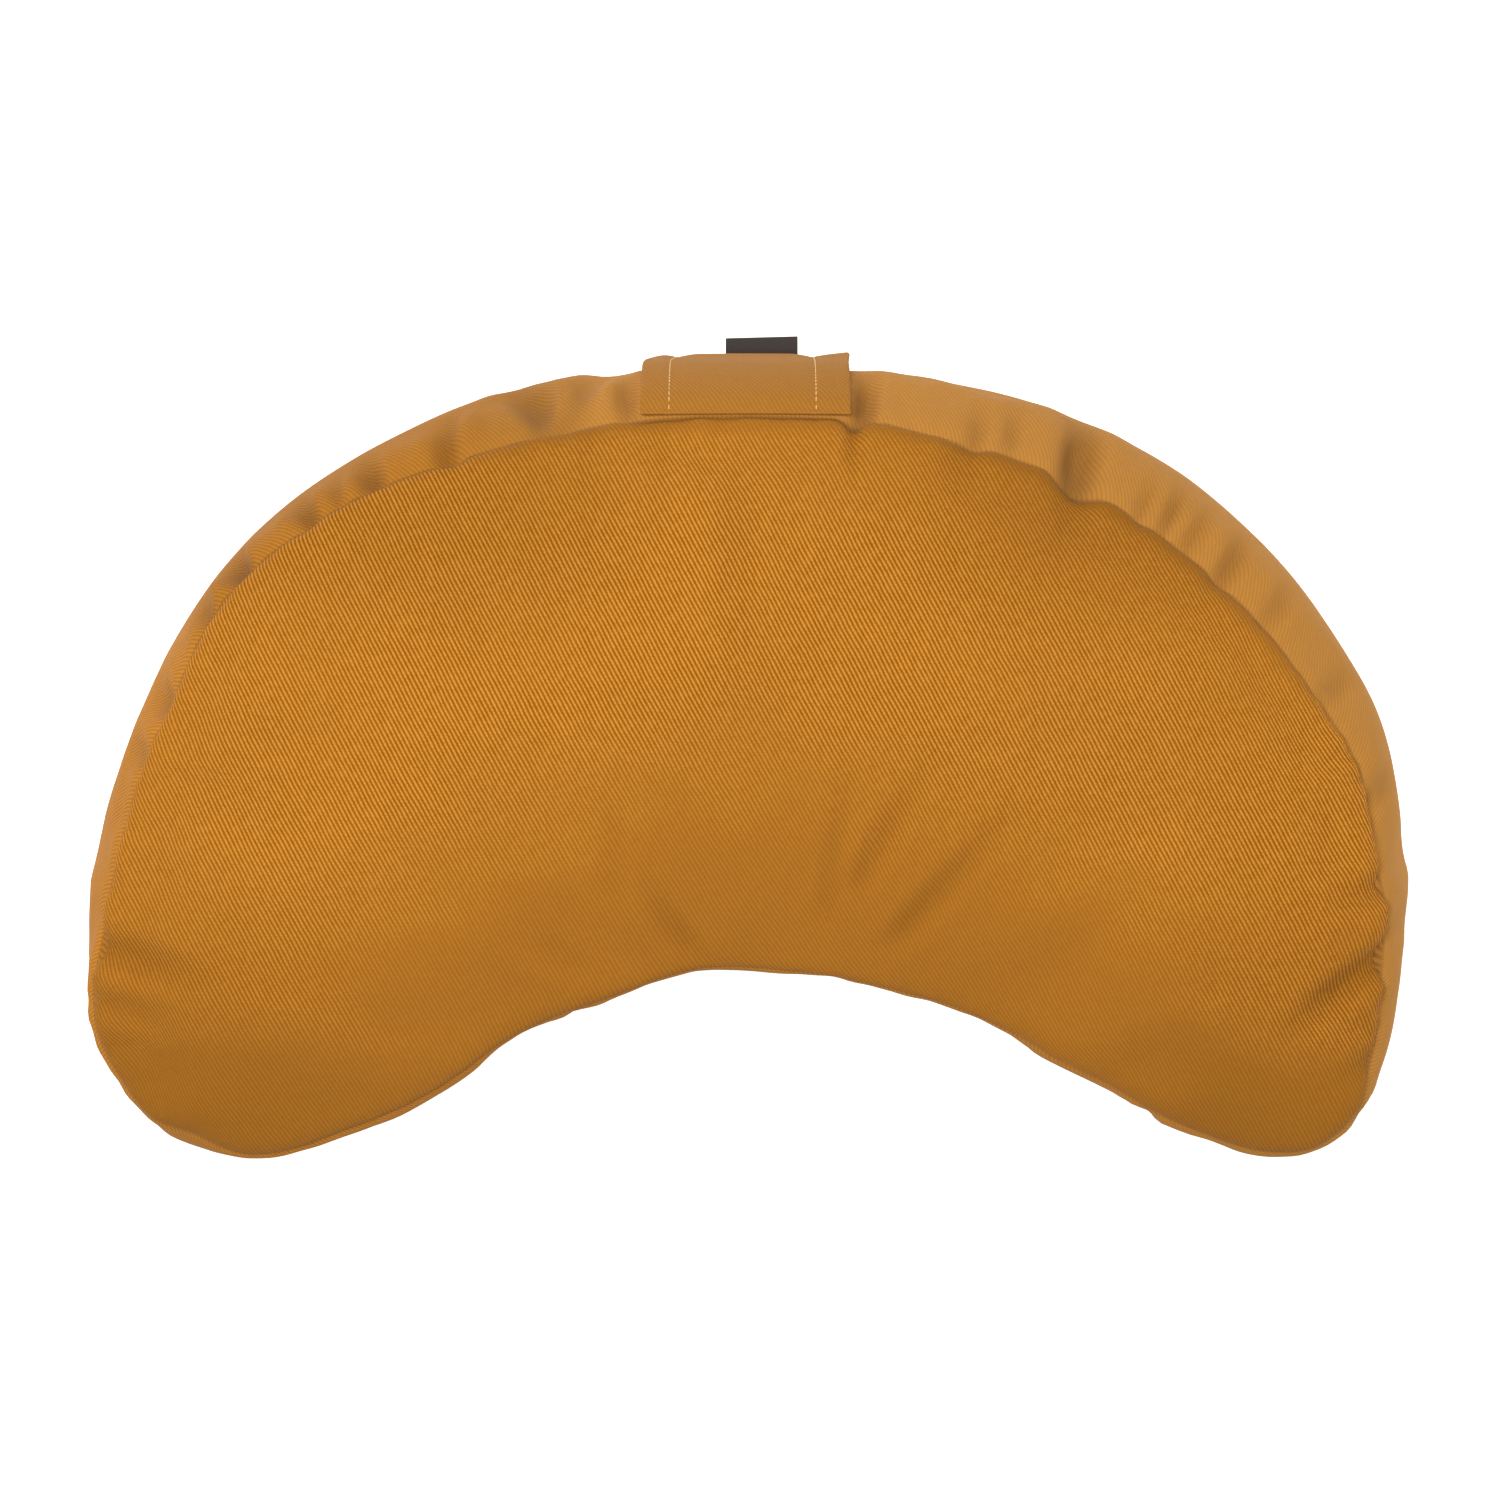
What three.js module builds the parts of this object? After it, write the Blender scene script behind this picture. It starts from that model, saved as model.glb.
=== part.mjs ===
// A crescent meditation cushion: two twill panels joined by a side band and filled with hulls,
// with a wide strap handle across the band at the back and a small bare tab in the bottom seam.
// Lengths are in millimetres and angles in degrees. +Z is up, the convex back faces +Y, and the
// origin is the centre of the footprint, on the surface that the cushion lies on.
import * as THREE from "three";

// The spine is the arc that runs along the middle of the crescent, and every section of the cushion
// is measured outwards from a point of it, its foot.
const SPINE_RADIUS = 174;
const SPINE_HALF_ANGLE = 65;
const SPINE_CENTRE_Y = -148;

const CROWN_MIDDLE = 130;
const CROWN_ENDS = 118;
const CROWN_FLATNESS = 1.75;
const BOTTOM_SEAM_HEIGHT = 14;
const BOTTOM_ROLL = 32;
const SEAM_SINK = 2.6;

const HANDLE_WIDTH = 70;
const HANDLE_THICKNESS = 2.3;
const LABEL_WIDTH = 25;
const LABEL_THICKNESS = 1;
const LABEL_MIDDLE_X = 5.5;

// Mesh steps along each side of the spine and round each end, and the rings of points: shares of the
// way in from the top seam to the spine, down the band, and round the roll of the bottom edge. They
// crowd at the seams, to keep the creases narrow.
const SPINE_STEPS = 72;
const END_STEPS = 24;
const TOP_RINGS = [0.12, 0.26, 0.4, 0.53, 0.65, 0.76, 0.86, 0.94, 0.98];
const BAND_RINGS = [0, 0.035, 0.13, 0.3, 0.5, 0.7, 0.87, 0.965, 1];
const BOTTOM_RINGS = [0.1, 0.45, 1];

// The way round the outline, clockwise from above, is counted in degrees of turn of the spine or of
// an end: the back is -65 to 65, the right end 65 to 245, the front bay 245 to 375 and the left end
// 375 to 555, where the back starts again.
const BACK_START = -SPINE_HALF_ANGLE;
const RIGHT_END_START = SPINE_HALF_ANGLE;
const BAY_START = RIGHT_END_START + 180;
const LEFT_END_START = BAY_START + 2 * SPINE_HALF_ANGLE;
const WAY_ROUND = 2 * (180 + 2 * SPINE_HALF_ANGLE);

// reach: from the foot to the widest line of the band. topIn and bottomIn: how far the two seams lie
// inside that line. seam: the height of the top seam. puff: how the top panel falls to that seam,
// from a low power, which keeps it high and rounds it off at the rim, to 1, a slope.
const SECTIONS = [
  { way: -65, reach: 71.5, topIn: 8, bottomIn: 10, seam: 100, puff: 0.8 },
  { way: -52, reach: 88, topIn: 8, bottomIn: 10, seam: 103, puff: 0.8 },
  { way: -39, reach: 103, topIn: 7, bottomIn: 11, seam: 105, puff: 0.8 },
  { way: -26, reach: 108, topIn: 11, bottomIn: 13, seam: 106, puff: 0.8 },
  { way: -13, reach: 107.5, topIn: 14, bottomIn: 15, seam: 106, puff: 0.8 },
  { way: 0, reach: 104, topIn: 13.5, bottomIn: 17, seam: 106, puff: 0.8 },
  { way: 13, reach: 107, topIn: 14.5, bottomIn: 15, seam: 106, puff: 0.8 },
  { way: 26, reach: 110, topIn: 18, bottomIn: 14, seam: 106, puff: 0.8 },
  { way: 39, reach: 107, topIn: 18, bottomIn: 14, seam: 105, puff: 0.8 },
  { way: 52, reach: 97.5, topIn: 15, bottomIn: 12, seam: 104, puff: 0.8 },
  { way: 65, reach: 75, topIn: 11, bottomIn: 10, seam: 101, puff: 0.8 },
  { way: 95, reach: 65.5, topIn: 9, bottomIn: 9, seam: 99, puff: 0.82 },
  { way: 125, reach: 69, topIn: 7, bottomIn: 9, seam: 97, puff: 0.85 },
  { way: 155, reach: 69.5, topIn: 5, bottomIn: 8, seam: 94.5, puff: 0.88 },
  { way: 185, reach: 57, topIn: 4, bottomIn: 6, seam: 92.5, puff: 0.91 },
  { way: 215, reach: 52, topIn: 4, bottomIn: 5, seam: 91, puff: 0.93 },
  { way: 245, reach: 64, topIn: 4, bottomIn: 5, seam: 90.5, puff: 0.95 },
  { way: 271, reach: 86.5, topIn: 3, bottomIn: 4, seam: 91, puff: 0.95 },
  { way: 297, reach: 96.5, topIn: 3, bottomIn: 4, seam: 92, puff: 0.95 },
  { way: 323, reach: 96, topIn: 3, bottomIn: 4, seam: 92, puff: 0.95 },
  { way: 349, reach: 92.5, topIn: 3, bottomIn: 4, seam: 91.5, puff: 0.95 },
  { way: 375, reach: 74, topIn: 4, bottomIn: 5, seam: 90.5, puff: 0.95 },
  { way: 405, reach: 63, topIn: 5, bottomIn: 6, seam: 91, puff: 0.93 },
  { way: 435, reach: 62, topIn: 5, bottomIn: 6, seam: 92, puff: 0.91 },
  { way: 465, reach: 67.5, topIn: 3.5, bottomIn: 8, seam: 94, puff: 0.88 },
  { way: 495, reach: 73, topIn: 4, bottomIn: 9, seam: 96, puff: 0.85 },
  { way: 525, reach: 68.5, topIn: 6, bottomIn: 9, seam: 98.5, puff: 0.82 },
];

// Dimples pressed into the band. down: how far down the band the middle lies, from 0 at the top seam
// to 1 at the bottom one. wide and tall: half sizes, in degrees of way and in band height. lean:
// degrees of way by which the fold drifts from its top to its foot.
const BAND_DIMPLES = [
  { way: -52, down: 0.15, wide: 2.6, tall: 0.32, lean: -3, depth: 5 },
  { way: -43, down: 0.2, wide: 2, tall: 0.22, lean: 3, depth: 4 },
  { way: -33, down: 0.3, wide: 2.4, tall: 0.3, lean: -4, depth: 3.5 },
  { way: -20, down: 0.35, wide: 3, tall: 0.4, lean: 5, depth: 2.5 },
  { way: 11, down: 0.12, wide: 1.8, tall: 0.25, lean: 2, depth: 3.5 },
  { way: 24, down: 0.25, wide: 2.4, tall: 0.3, lean: -4, depth: 4 },
  { way: 37, down: 0.4, wide: 3, tall: 0.35, lean: 4, depth: 2.5 },
  { way: 50, down: 0.15, wide: 2.2, tall: 0.25, lean: -3, depth: 3 },
  { way: 82, down: 0.3, wide: 5, tall: 0.4, lean: 6, depth: 2.5 },
  { way: 132, down: 0.15, wide: 4, tall: 0.3, lean: -5, depth: 5 },
  { way: 160, down: 0.4, wide: 6, tall: 0.4, lean: 5, depth: 3 },
  { way: 262, down: 0.4, wide: 5, tall: 0.4, lean: 4, depth: 3 },
  { way: 288, down: 0.5, wide: 6, tall: 0.5, lean: -3, depth: 2.5 },
  { way: 318, down: 0.45, wide: 5, tall: 0.45, lean: 3, depth: 2.5 },
  { way: 352, down: 0.5, wide: 6, tall: 0.5, lean: -4, depth: 3 },
  { way: 420, down: 0.3, wide: 6, tall: 0.35, lean: 4, depth: 4 },
  { way: 478, down: 0.2, wide: 5, tall: 0.3, lean: 5, depth: 4.5 },
  { way: 520, down: 0.3, wide: 6, tall: 0.4, lean: -5, depth: 3 },
];

// Soft troughs in the top panel, each a straight line in plan that fades out to both sides.
const PANEL_TROUGHS = [
  { fromX: -3, fromY: 83, toX: -5, toY: 28, wide: 9, depth: 1.6 },
  { fromX: 34, fromY: -16, toX: 8, toY: -46, wide: 8, depth: 2.4 },
  { fromX: 57, fromY: -2, toX: 38, toY: -37, wide: 8, depth: 2 },
  { fromX: 85, fromY: -18, toX: 52, toY: -56, wide: 9, depth: 2.6 },
  { fromX: -45, fromY: -5, toX: -45, toY: -40, wide: 8, depth: 1.8 },
  { fromX: -31, fromY: -44, toX: -22, toY: -59, wide: 7, depth: 2 },
  { fromX: 107, fromY: 104, toX: 107, toY: 78, wide: 8, depth: 2.4 },
  { fromX: 208, fromY: -62, toX: 186, toY: -82, wide: 8, depth: 3.5 },
  { fromX: -215, fromY: -62, toX: -187, toY: -62, wide: 8, depth: 2.6 },
];

// The strap from the top seam to the bottom seam: the height of each point and how far its inner
// face stands off the band's plain bulge, less than nothing where it turns into a seam. It hugs the
// upper half, then hangs slack and leaves room for fingers.
const HANDLE_PATH = [
  { height: 106.2, gap: -1.5 },
  { height: 104, gap: 0.6 },
  { height: 95, gap: 0.7 },
  { height: 82, gap: 0.7 },
  { height: 68, gap: 0.6 },
  { height: 54, gap: 1 },
  { height: 44, gap: 2.8 },
  { height: 35, gap: 5.8 },
  { height: 28, gap: 8.4 },
  { height: 22, gap: 10 },
  { height: 18.4, gap: 8.6 },
  { height: 16, gap: 4.2 },
  { height: 14.7, gap: 0.2 },
];
const HANDLE_STEPS_LONG = 40;
const HANDLE_STEPS_ACROSS = 8;
// How far the strap's two side edges fall back from its middle: it is straighter than the band.
const HANDLE_BOW = 0.3;

// The tab from the bottom seam outwards: distance out from the seam, and height of its middle.
const LABEL_PATH = [
  { out: -0.7, height: 12.4 },
  { out: 8, height: 11.9 },
  { out: 16, height: 11.3 },
  { out: 25.5, height: 10.6 },
];
const LABEL_STEPS_LONG = 10;
const LABEL_STEPS_ACROSS = 4;

const TWILL = new THREE.MeshStandardMaterial({ color: 0xb87a30, roughness: 0.95, metalness: 0 });
const TAB_CLOTH = new THREE.MeshStandardMaterial({ color: 0x45403e, roughness: 0.9, metalness: 0 });

const radians = THREE.MathUtils.degToRad;

// The value of one column of SECTIONS at any way round, on a smooth closed curve through its rows.
function sectionValue(column, way) {
  const turned = THREE.MathUtils.euclideanModulo(way - BACK_START, WAY_ROUND) + BACK_START;
  const count = SECTIONS.length;
  const row = (index) => {
    const wrapped = THREE.MathUtils.euclideanModulo(index, count);
    const laps = Math.floor(index / count);
    return { way: SECTIONS[wrapped].way + laps * WAY_ROUND, value: SECTIONS[wrapped][column] };
  };
  let last = count - 1;
  while (SECTIONS[last].way > turned) last -= 1;
  const [before, start, end, after] = [last - 1, last, last + 1, last + 2].map(row);
  const length = end.way - start.way;
  const startSlope = ((end.value - before.value) / (end.way - before.way)) * length;
  const endSlope = ((after.value - start.value) / (after.way - start.way)) * length;
  const t = (turned - start.way) / length;
  const rise = 3 * t * t - 2 * t * t * t;
  const leave = t * (1 - t) * (1 - t);
  const arrive = t * t * (t - 1);
  return start.value + (end.value - start.value) * rise + startSlope * leave + endSlope * arrive;
}

// The foot on the spine and the outward bearing, clockwise from +Y, of a way round the outline.
function footAndBearing(way) {
  let foot = way;
  let bearing = way;
  if (way > RIGHT_END_START) foot = SPINE_HALF_ANGLE;
  if (way > BAY_START) {
    foot = SPINE_HALF_ANGLE - (way - BAY_START);
    bearing = foot + 180;
  }
  if (way > LEFT_END_START) {
    foot = -SPINE_HALF_ANGLE;
    bearing = way - LEFT_END_START + 180 - SPINE_HALF_ANGLE;
  }
  return {
    x: SPINE_RADIUS * Math.sin(radians(foot)),
    y: SPINE_CENTRE_Y + SPINE_RADIUS * Math.cos(radians(foot)),
    outX: Math.sin(radians(bearing)),
    outY: Math.cos(radians(bearing)),
    crown: THREE.MathUtils.lerp(CROWN_MIDDLE, CROWN_ENDS, (foot / SPINE_HALF_ANGLE) ** 2),
  };
}

function outwards(place, distance, height) {
  return new THREE.Vector3(place.x + place.outX * distance, place.y + place.outY * distance, height);
}

// How far the dimples press the band in at a way round and a share of the way down it.
function dimpleDepth(way, down) {
  let depth = 0;
  for (const dimple of BAND_DIMPLES) {
    const middle = dimple.way + dimple.lean * (down - dimple.down);
    const aside = (way - middle) / dimple.wide;
    const along = (down - dimple.down) / dimple.tall;
    depth += dimple.depth * Math.exp(-aside * aside - along * along);
  }
  return depth;
}

// Distance from the foot to the band, a share of the way down from the top seam. It is a bulge,
// fullest at half height, that ends a little outside the seams, and each seam is sunk from there.
function bandReach(way, down, sink) {
  const seamIn = THREE.MathUtils.lerp(
    sectionValue("topIn", way),
    sectionValue("bottomIn", way),
    down,
  );
  const towardsSeam = (2 * down - 1) ** 2;
  const atSeam = down === 0 || down === 1 ? sink : 0;
  const bulge = sectionValue("reach", way) - (seamIn - SEAM_SINK) * towardsSeam;
  return bulge - dimpleDepth(way, down) * (1 - 0.6 * towardsSeam ** 4) - atSeam;
}

function bandPoint(way, down) {
  const height = THREE.MathUtils.lerp(sectionValue("seam", way), BOTTOM_SEAM_HEIGHT, down);
  return outwards(footAndBearing(way), bandReach(way, down, SEAM_SINK), height);
}

function troughDepth(x, y) {
  let depth = 0;
  for (const trough of PANEL_TROUGHS) {
    const start = new THREE.Vector3(trough.fromX, trough.fromY, 0);
    const end = new THREE.Vector3(trough.toX, trough.toY, 0);
    const point = new THREE.Vector3(x, y, 0);
    const nearest = new THREE.Line3(start, end).closestPointToPoint(point, true, new THREE.Vector3());
    depth += trough.depth * Math.exp(-((point.distanceTo(nearest) / trough.wide) ** 2));
  }
  return depth;
}

// A point of the top panel, at a share of the way from the spine out to the top seam.
function topPoint(way, share) {
  const place = footAndBearing(way);
  const edge = bandReach(way, 0, SEAM_SINK);
  const puff = (1 - share ** CROWN_FLATNESS) ** sectionValue("puff", way);
  const seam = sectionValue("seam", way);
  const point = outwards(place, edge * share, seam + (place.crown - seam) * puff);
  point.z -= troughDepth(point.x, point.y) * Math.min(1, (1 - share) / 0.1);
  return point;
}

// A point of the bottom panel: the edge rolls down from the seam, then the panel lies flat.
function bottomPoint(way, rolled) {
  const edge = bandReach(way, 1, SEAM_SINK);
  const height = BOTTOM_SEAM_HEIGHT * (1 - rolled) ** 2;
  return outwards(footAndBearing(way), edge - BOTTOM_ROLL * rolled, height);
}

// A closed mesh of rings of points round the outline. The first and last rings join the top and
// bottom lines of the spine, whose points the back and the bay share.
function cushionGeometry() {
  const ways = [];
  const spineIndex = [];
  const stretches = [
    { start: BACK_START, turn: 2 * SPINE_HALF_ANGLE, steps: SPINE_STEPS, spine: (i) => i },
    { start: RIGHT_END_START, turn: 180, steps: END_STEPS, spine: () => SPINE_STEPS },
    { start: BAY_START, turn: 2 * SPINE_HALF_ANGLE, steps: SPINE_STEPS, spine: (i) => SPINE_STEPS - i },
    { start: LEFT_END_START, turn: 180, steps: END_STEPS, spine: () => 0 },
  ];
  for (const stretch of stretches) {
    for (let i = 0; i < stretch.steps; i += 1) {
      ways.push(stretch.start + (stretch.turn * i) / stretch.steps);
      spineIndex.push(stretch.spine(i));
    }
  }

  const rings = [];
  for (const share of TOP_RINGS) rings.push(ways.map((way) => topPoint(way, share)));
  for (const down of BAND_RINGS) rings.push(ways.map((way) => bandPoint(way, down)));
  for (const rolled of BOTTOM_RINGS) rings.push(ways.map((way) => bottomPoint(way, rolled)));

  const backWays = ways.slice(0, SPINE_STEPS).concat(SPINE_HALF_ANGLE);
  const topSpine = backWays.map((way) => topPoint(way, 0));
  const bottomSpine = backWays.map((way) => outwards(footAndBearing(way), 0, 0));

  const points = [...topSpine, ...bottomSpine, ...rings.flat()];
  const ringStart = topSpine.length + bottomSpine.length;
  const onRing = (ring, column) => ringStart + ring * ways.length + column;
  const faces = [];
  ways.forEach((_, column) => {
    const next = (column + 1) % ways.length;
    for (let ring = 0; ring < rings.length - 1; ring += 1) {
      const corner = [onRing(ring, column), onRing(ring, next), onRing(ring + 1, next)];
      faces.push(...corner, corner[0], corner[2], onRing(ring + 1, column));
    }
    const lastRing = rings.length - 1;
    const top = spineIndex[column];
    const topNext = spineIndex[next];
    const bottom = topSpine.length + top;
    const bottomNext = topSpine.length + topNext;
    faces.push(top, onRing(0, next), onRing(0, column));
    faces.push(bottom, onRing(lastRing, column), onRing(lastRing, next));
    if (topNext !== top) {
      faces.push(top, topNext, onRing(0, next));
      faces.push(bottom, onRing(lastRing, next), bottomNext);
    }
  });
  return closedGeometry(points, faces);
}

function closedGeometry(points, faces) {
  const geometry = new THREE.BufferGeometry();
  geometry.setFromPoints(points);
  geometry.setIndex(faces);
  geometry.computeVertexNormals();
  return geometry;
}

// A thin piece with two faces and four edge walls. surface(along, across, side) gives its points:
// along and across run from 0 to 1, and side is 1 on the outer face and -1 on the inner one.
function slabGeometry(stepsLong, stepsAcross, surface) {
  const points = [];
  const faces = [];
  const perFace = (stepsLong + 1) * (stepsAcross + 1);
  for (const side of [1, -1]) {
    for (let i = 0; i <= stepsLong; i += 1) {
      for (let j = 0; j <= stepsAcross; j += 1) {
        points.push(surface(i / stepsLong, j / stepsAcross, side));
      }
    }
  }
  const at = (i, j, side) => (side === 1 ? 0 : perFace) + i * (stepsAcross + 1) + j;
  const quad = (a, b, c, d) => faces.push(a, b, c, a, c, d);
  for (let i = 0; i < stepsLong; i += 1) {
    for (let j = 0; j < stepsAcross; j += 1) {
      quad(at(i, j, 1), at(i + 1, j, 1), at(i + 1, j + 1, 1), at(i, j + 1, 1));
      quad(at(i, j, -1), at(i, j + 1, -1), at(i + 1, j + 1, -1), at(i + 1, j, -1));
    }
    quad(at(i, 0, 1), at(i, 0, -1), at(i + 1, 0, -1), at(i + 1, 0, 1));
    quad(at(i, stepsAcross, 1), at(i + 1, stepsAcross, 1), at(i + 1, stepsAcross, -1), at(i, stepsAcross, -1));
  }
  for (let j = 0; j < stepsAcross; j += 1) {
    quad(at(0, j, 1), at(0, j + 1, 1), at(0, j + 1, -1), at(0, j, -1));
    quad(at(stepsLong, j, 1), at(stepsLong, j, -1), at(stepsLong, j + 1, -1), at(stepsLong, j + 1, 1));
  }
  return closedGeometry(points, faces);
}

// The height and the outward place of the band at the middle of the back.
function bandMiddleY(height) {
  const down = (sectionValue("seam", 0) - height) / (sectionValue("seam", 0) - BOTTOM_SEAM_HEIGHT);
  return footAndBearing(0).y + bandReach(0, down, 0);
}

function handleGeometry() {
  const middle = HANDLE_PATH.map(
    (row) => new THREE.Vector3(0, bandMiddleY(row.height) + row.gap + HANDLE_THICKNESS / 2, row.height),
  );
  const path = new THREE.CatmullRomCurve3(middle, false, "centripetal");
  return slabGeometry(HANDLE_STEPS_LONG, HANDLE_STEPS_ACROSS, (along, across, side) => {
    const point = path.getPointAt(along);
    const tangent = path.getTangentAt(along);
    const outward = new THREE.Vector3(0, -tangent.z, tangent.y);
    point.addScaledVector(outward, (side * HANDLE_THICKNESS) / 2);
    const fromMiddle = 2 * across - 1;
    point.x = (-fromMiddle * HANDLE_WIDTH) / 2;
    point.y -= HANDLE_BOW * fromMiddle * fromMiddle;
    return point;
  });
}

function labelGeometry() {
  const seamY = footAndBearing(0).y + bandReach(0, 1, SEAM_SINK);
  const middle = LABEL_PATH.map((row) => new THREE.Vector3(0, seamY + row.out, row.height));
  const path = new THREE.CatmullRomCurve3(middle, false, "centripetal");
  return slabGeometry(LABEL_STEPS_LONG, LABEL_STEPS_ACROSS, (along, across, side) => {
    const point = path.getPointAt(along);
    const tangent = path.getTangentAt(along);
    const upward = new THREE.Vector3(0, -tangent.z, tangent.y);
    point.addScaledVector(upward, (side * LABEL_THICKNESS) / 2);
    point.x = LABEL_MIDDLE_X - (across - 0.5) * LABEL_WIDTH;
    return point;
  });
}

function namedMesh(name, geometry, material) {
  const mesh = new THREE.Mesh(geometry, material);
  mesh.name = name;
  return mesh;
}

const pieces = new THREE.Group();
pieces.add(namedMesh("cushion", cushionGeometry(), TWILL));
pieces.add(namedMesh("handle", handleGeometry(), TWILL));
pieces.add(namedMesh("label", labelGeometry(), TAB_CLOTH));

// The footprint's centre goes to the origin.
const box = new THREE.Box3().setFromObject(pieces);
const middleOfBox = box.getCenter(new THREE.Vector3());
pieces.position.set(-middleOfBox.x, -middleOfBox.y, -box.min.z);

const meditationCushion = new THREE.Group();
meditationCushion.add(pieces);

export default meditationCushion;
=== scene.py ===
"""The looks of a crescent meditation cushion: a hull-filled twill cushion, its strap handle and a tab.

Lengths are in millimetres and angles in degrees until a mesh is made, where MM turns them into
metres. The cushion's sections are the same as in the solids that it stands for.
"""

import math
import random

import bmesh
import bpy
import numpy as np
from mathutils import Matrix, Vector, geometry, noise
from mathutils.bvhtree import BVHTree


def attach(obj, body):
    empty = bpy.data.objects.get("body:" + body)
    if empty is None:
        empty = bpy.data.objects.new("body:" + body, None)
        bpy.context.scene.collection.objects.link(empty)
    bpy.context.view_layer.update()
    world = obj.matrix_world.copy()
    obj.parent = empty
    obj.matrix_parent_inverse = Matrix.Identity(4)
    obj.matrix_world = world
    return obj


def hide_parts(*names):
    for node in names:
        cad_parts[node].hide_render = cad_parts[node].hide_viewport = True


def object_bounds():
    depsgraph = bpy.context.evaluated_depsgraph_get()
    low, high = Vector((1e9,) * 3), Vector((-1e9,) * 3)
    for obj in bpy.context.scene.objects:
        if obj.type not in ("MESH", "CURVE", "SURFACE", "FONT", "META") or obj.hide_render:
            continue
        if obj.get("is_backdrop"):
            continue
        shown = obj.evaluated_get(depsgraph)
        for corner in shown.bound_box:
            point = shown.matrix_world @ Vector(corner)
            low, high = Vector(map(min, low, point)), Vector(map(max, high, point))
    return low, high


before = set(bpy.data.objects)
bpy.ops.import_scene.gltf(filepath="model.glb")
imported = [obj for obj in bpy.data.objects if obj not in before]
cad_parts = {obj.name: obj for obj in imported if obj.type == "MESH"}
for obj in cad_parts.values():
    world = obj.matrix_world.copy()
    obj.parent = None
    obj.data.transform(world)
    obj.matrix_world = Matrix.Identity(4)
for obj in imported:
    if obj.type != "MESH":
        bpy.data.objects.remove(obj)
CAD_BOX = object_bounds()
MM = 0.001

# The cushion's sections, measured outwards from the feet of a spine arc
SPINE_RADIUS = 174.0
SPINE_HALF_ANGLE = 65.0
SPINE_CENTRE_X = 0.1
SPINE_CENTRE_Y = -148.4
CROWN_MIDDLE = 130.0
CROWN_ENDS = 118.0
CROWN_FLATNESS = 1.75
BOTTOM_SEAM_HEIGHT = 14.0
BOTTOM_ROLL = 32.0
SEAM_SINK = 2.0
SEAM_SINK_WIDTH = 2.2
LIP_RISE = 1.3
LIP_WIDTH = 6.0

BACK_START = -SPINE_HALF_ANGLE
RIGHT_END_START = SPINE_HALF_ANGLE
BAY_START = RIGHT_END_START + 180.0
BAY_MIDDLE = BAY_START + SPINE_HALF_ANGLE
LEFT_END_START = BAY_START + 2 * SPINE_HALF_ANGLE
WAY_ROUND = 2 * (180.0 + 2 * SPINE_HALF_ANGLE)

# way, reach, topIn, bottomIn, seam height, puff of the top panel
SECTIONS = [
    (-65, 71.5, 8, 10, 100, 0.8),
    (-52, 88, 8, 10, 103, 0.8),
    (-39, 103, 7, 11, 105, 0.8),
    (-26, 108, 11, 13, 106, 0.8),
    (-13, 107.5, 14, 15, 106, 0.8),
    (0, 104, 13.5, 17, 106, 0.8),
    (13, 107, 14.5, 15, 106, 0.8),
    (26, 110, 18, 14, 106, 0.8),
    (39, 107, 18, 14, 105, 0.8),
    (52, 97.5, 15, 12, 104, 0.8),
    (65, 75, 11, 10, 101, 0.8),
    (95, 65.5, 9, 9, 99, 0.82),
    (125, 69, 7, 9, 97, 0.85),
    (155, 69.5, 5, 8, 94.5, 0.88),
    (185, 57, 4, 6, 92.5, 0.91),
    (215, 52, 4, 5, 91, 0.93),
    (245, 64, 4, 5, 90.5, 0.95),
    (271, 86.5, 3, 4, 91, 0.95),
    (297, 96.5, 3, 4, 92, 0.95),
    (323, 96, 3, 4, 92, 0.95),
    (349, 92.5, 3, 4, 91.5, 0.95),
    (375, 74, 4, 5, 90.5, 0.95),
    (405, 63, 5, 6, 91, 0.93),
    (435, 62, 5, 6, 92, 0.91),
    (465, 67.5, 3.5, 8, 94, 0.88),
    (495, 73, 4, 9, 96, 0.85),
    (525, 68.5, 6, 9, 98.5, 0.82),
]

# Mesh sizes: the grid of the cloth, the coarse grid underneath and the one that settles, the fine
# rings beside a seam, and how far the grid stays off the last ring, in parts of its spacing
CLOTH_GRID = 2.6
UNDERSIDE_GRID = 7.0
SETTLE_GRID = 6.0
SEAM_RINGS = [1.0, 2.1, 3.5, 5.4]
ROLL_RINGS = [1.0, 2.4, 4.6, 7.6, 11.4, 16.0, 21.5, 27.0, 32.0]
RING_CLEARANCE = 0.7
# Length of the band from seam to seam along the cloth, and a box round the whole plan
BAND_LENGTH_DOWN = 98.0
PLAN_BOX = (-240.0, 240.0, -160.0, 160.0)

# Folds that show in the top panel: a line in plan from its deeper end, its half width and depth
PANEL_FOLDS = [
    (-3, 84, -2, 29, 7.0, 1.1),
    (27, -47, 33.5, 0, 3.6, 1.2),
    (39, -38, 57, -3, 4.4, 1.6),
    (54, -56, 86, -18, 4.6, 1.7),
    (-44.5, -41, -44.5, -6, 4.6, 0.8),
    (-22, -60, -32, -44, 4.4, 1.4),
    (-60.5, -67, -70, -60, 5.0, 1.0),
    (-28.5, 110, -28.5, 80, 5.5, 0.7),
    (-52, 108, -52.5, 70, 4.6, 0.6),
    (36, 115, 35.3, 99, 3.0, 2.4),
    (110, 92, 106, 80, 7.0, 2.0),
    (72.5, 103, 72, 95, 5.5, 1.3),
    (214.5, -66, 188, -85, 5.2, 3.8),
    (216, -41, 201, -46, 4.4, 2.4),
    (212, -100, 203, -106, 4.0, 1.6),
    (-220, -62, -184, -71, 5.6, 2.6),
    (-218, -80, -205, -84, 4.0, 0.9),
    (-214, -97, -203, -101, 4.0, 1.0),
]
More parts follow.
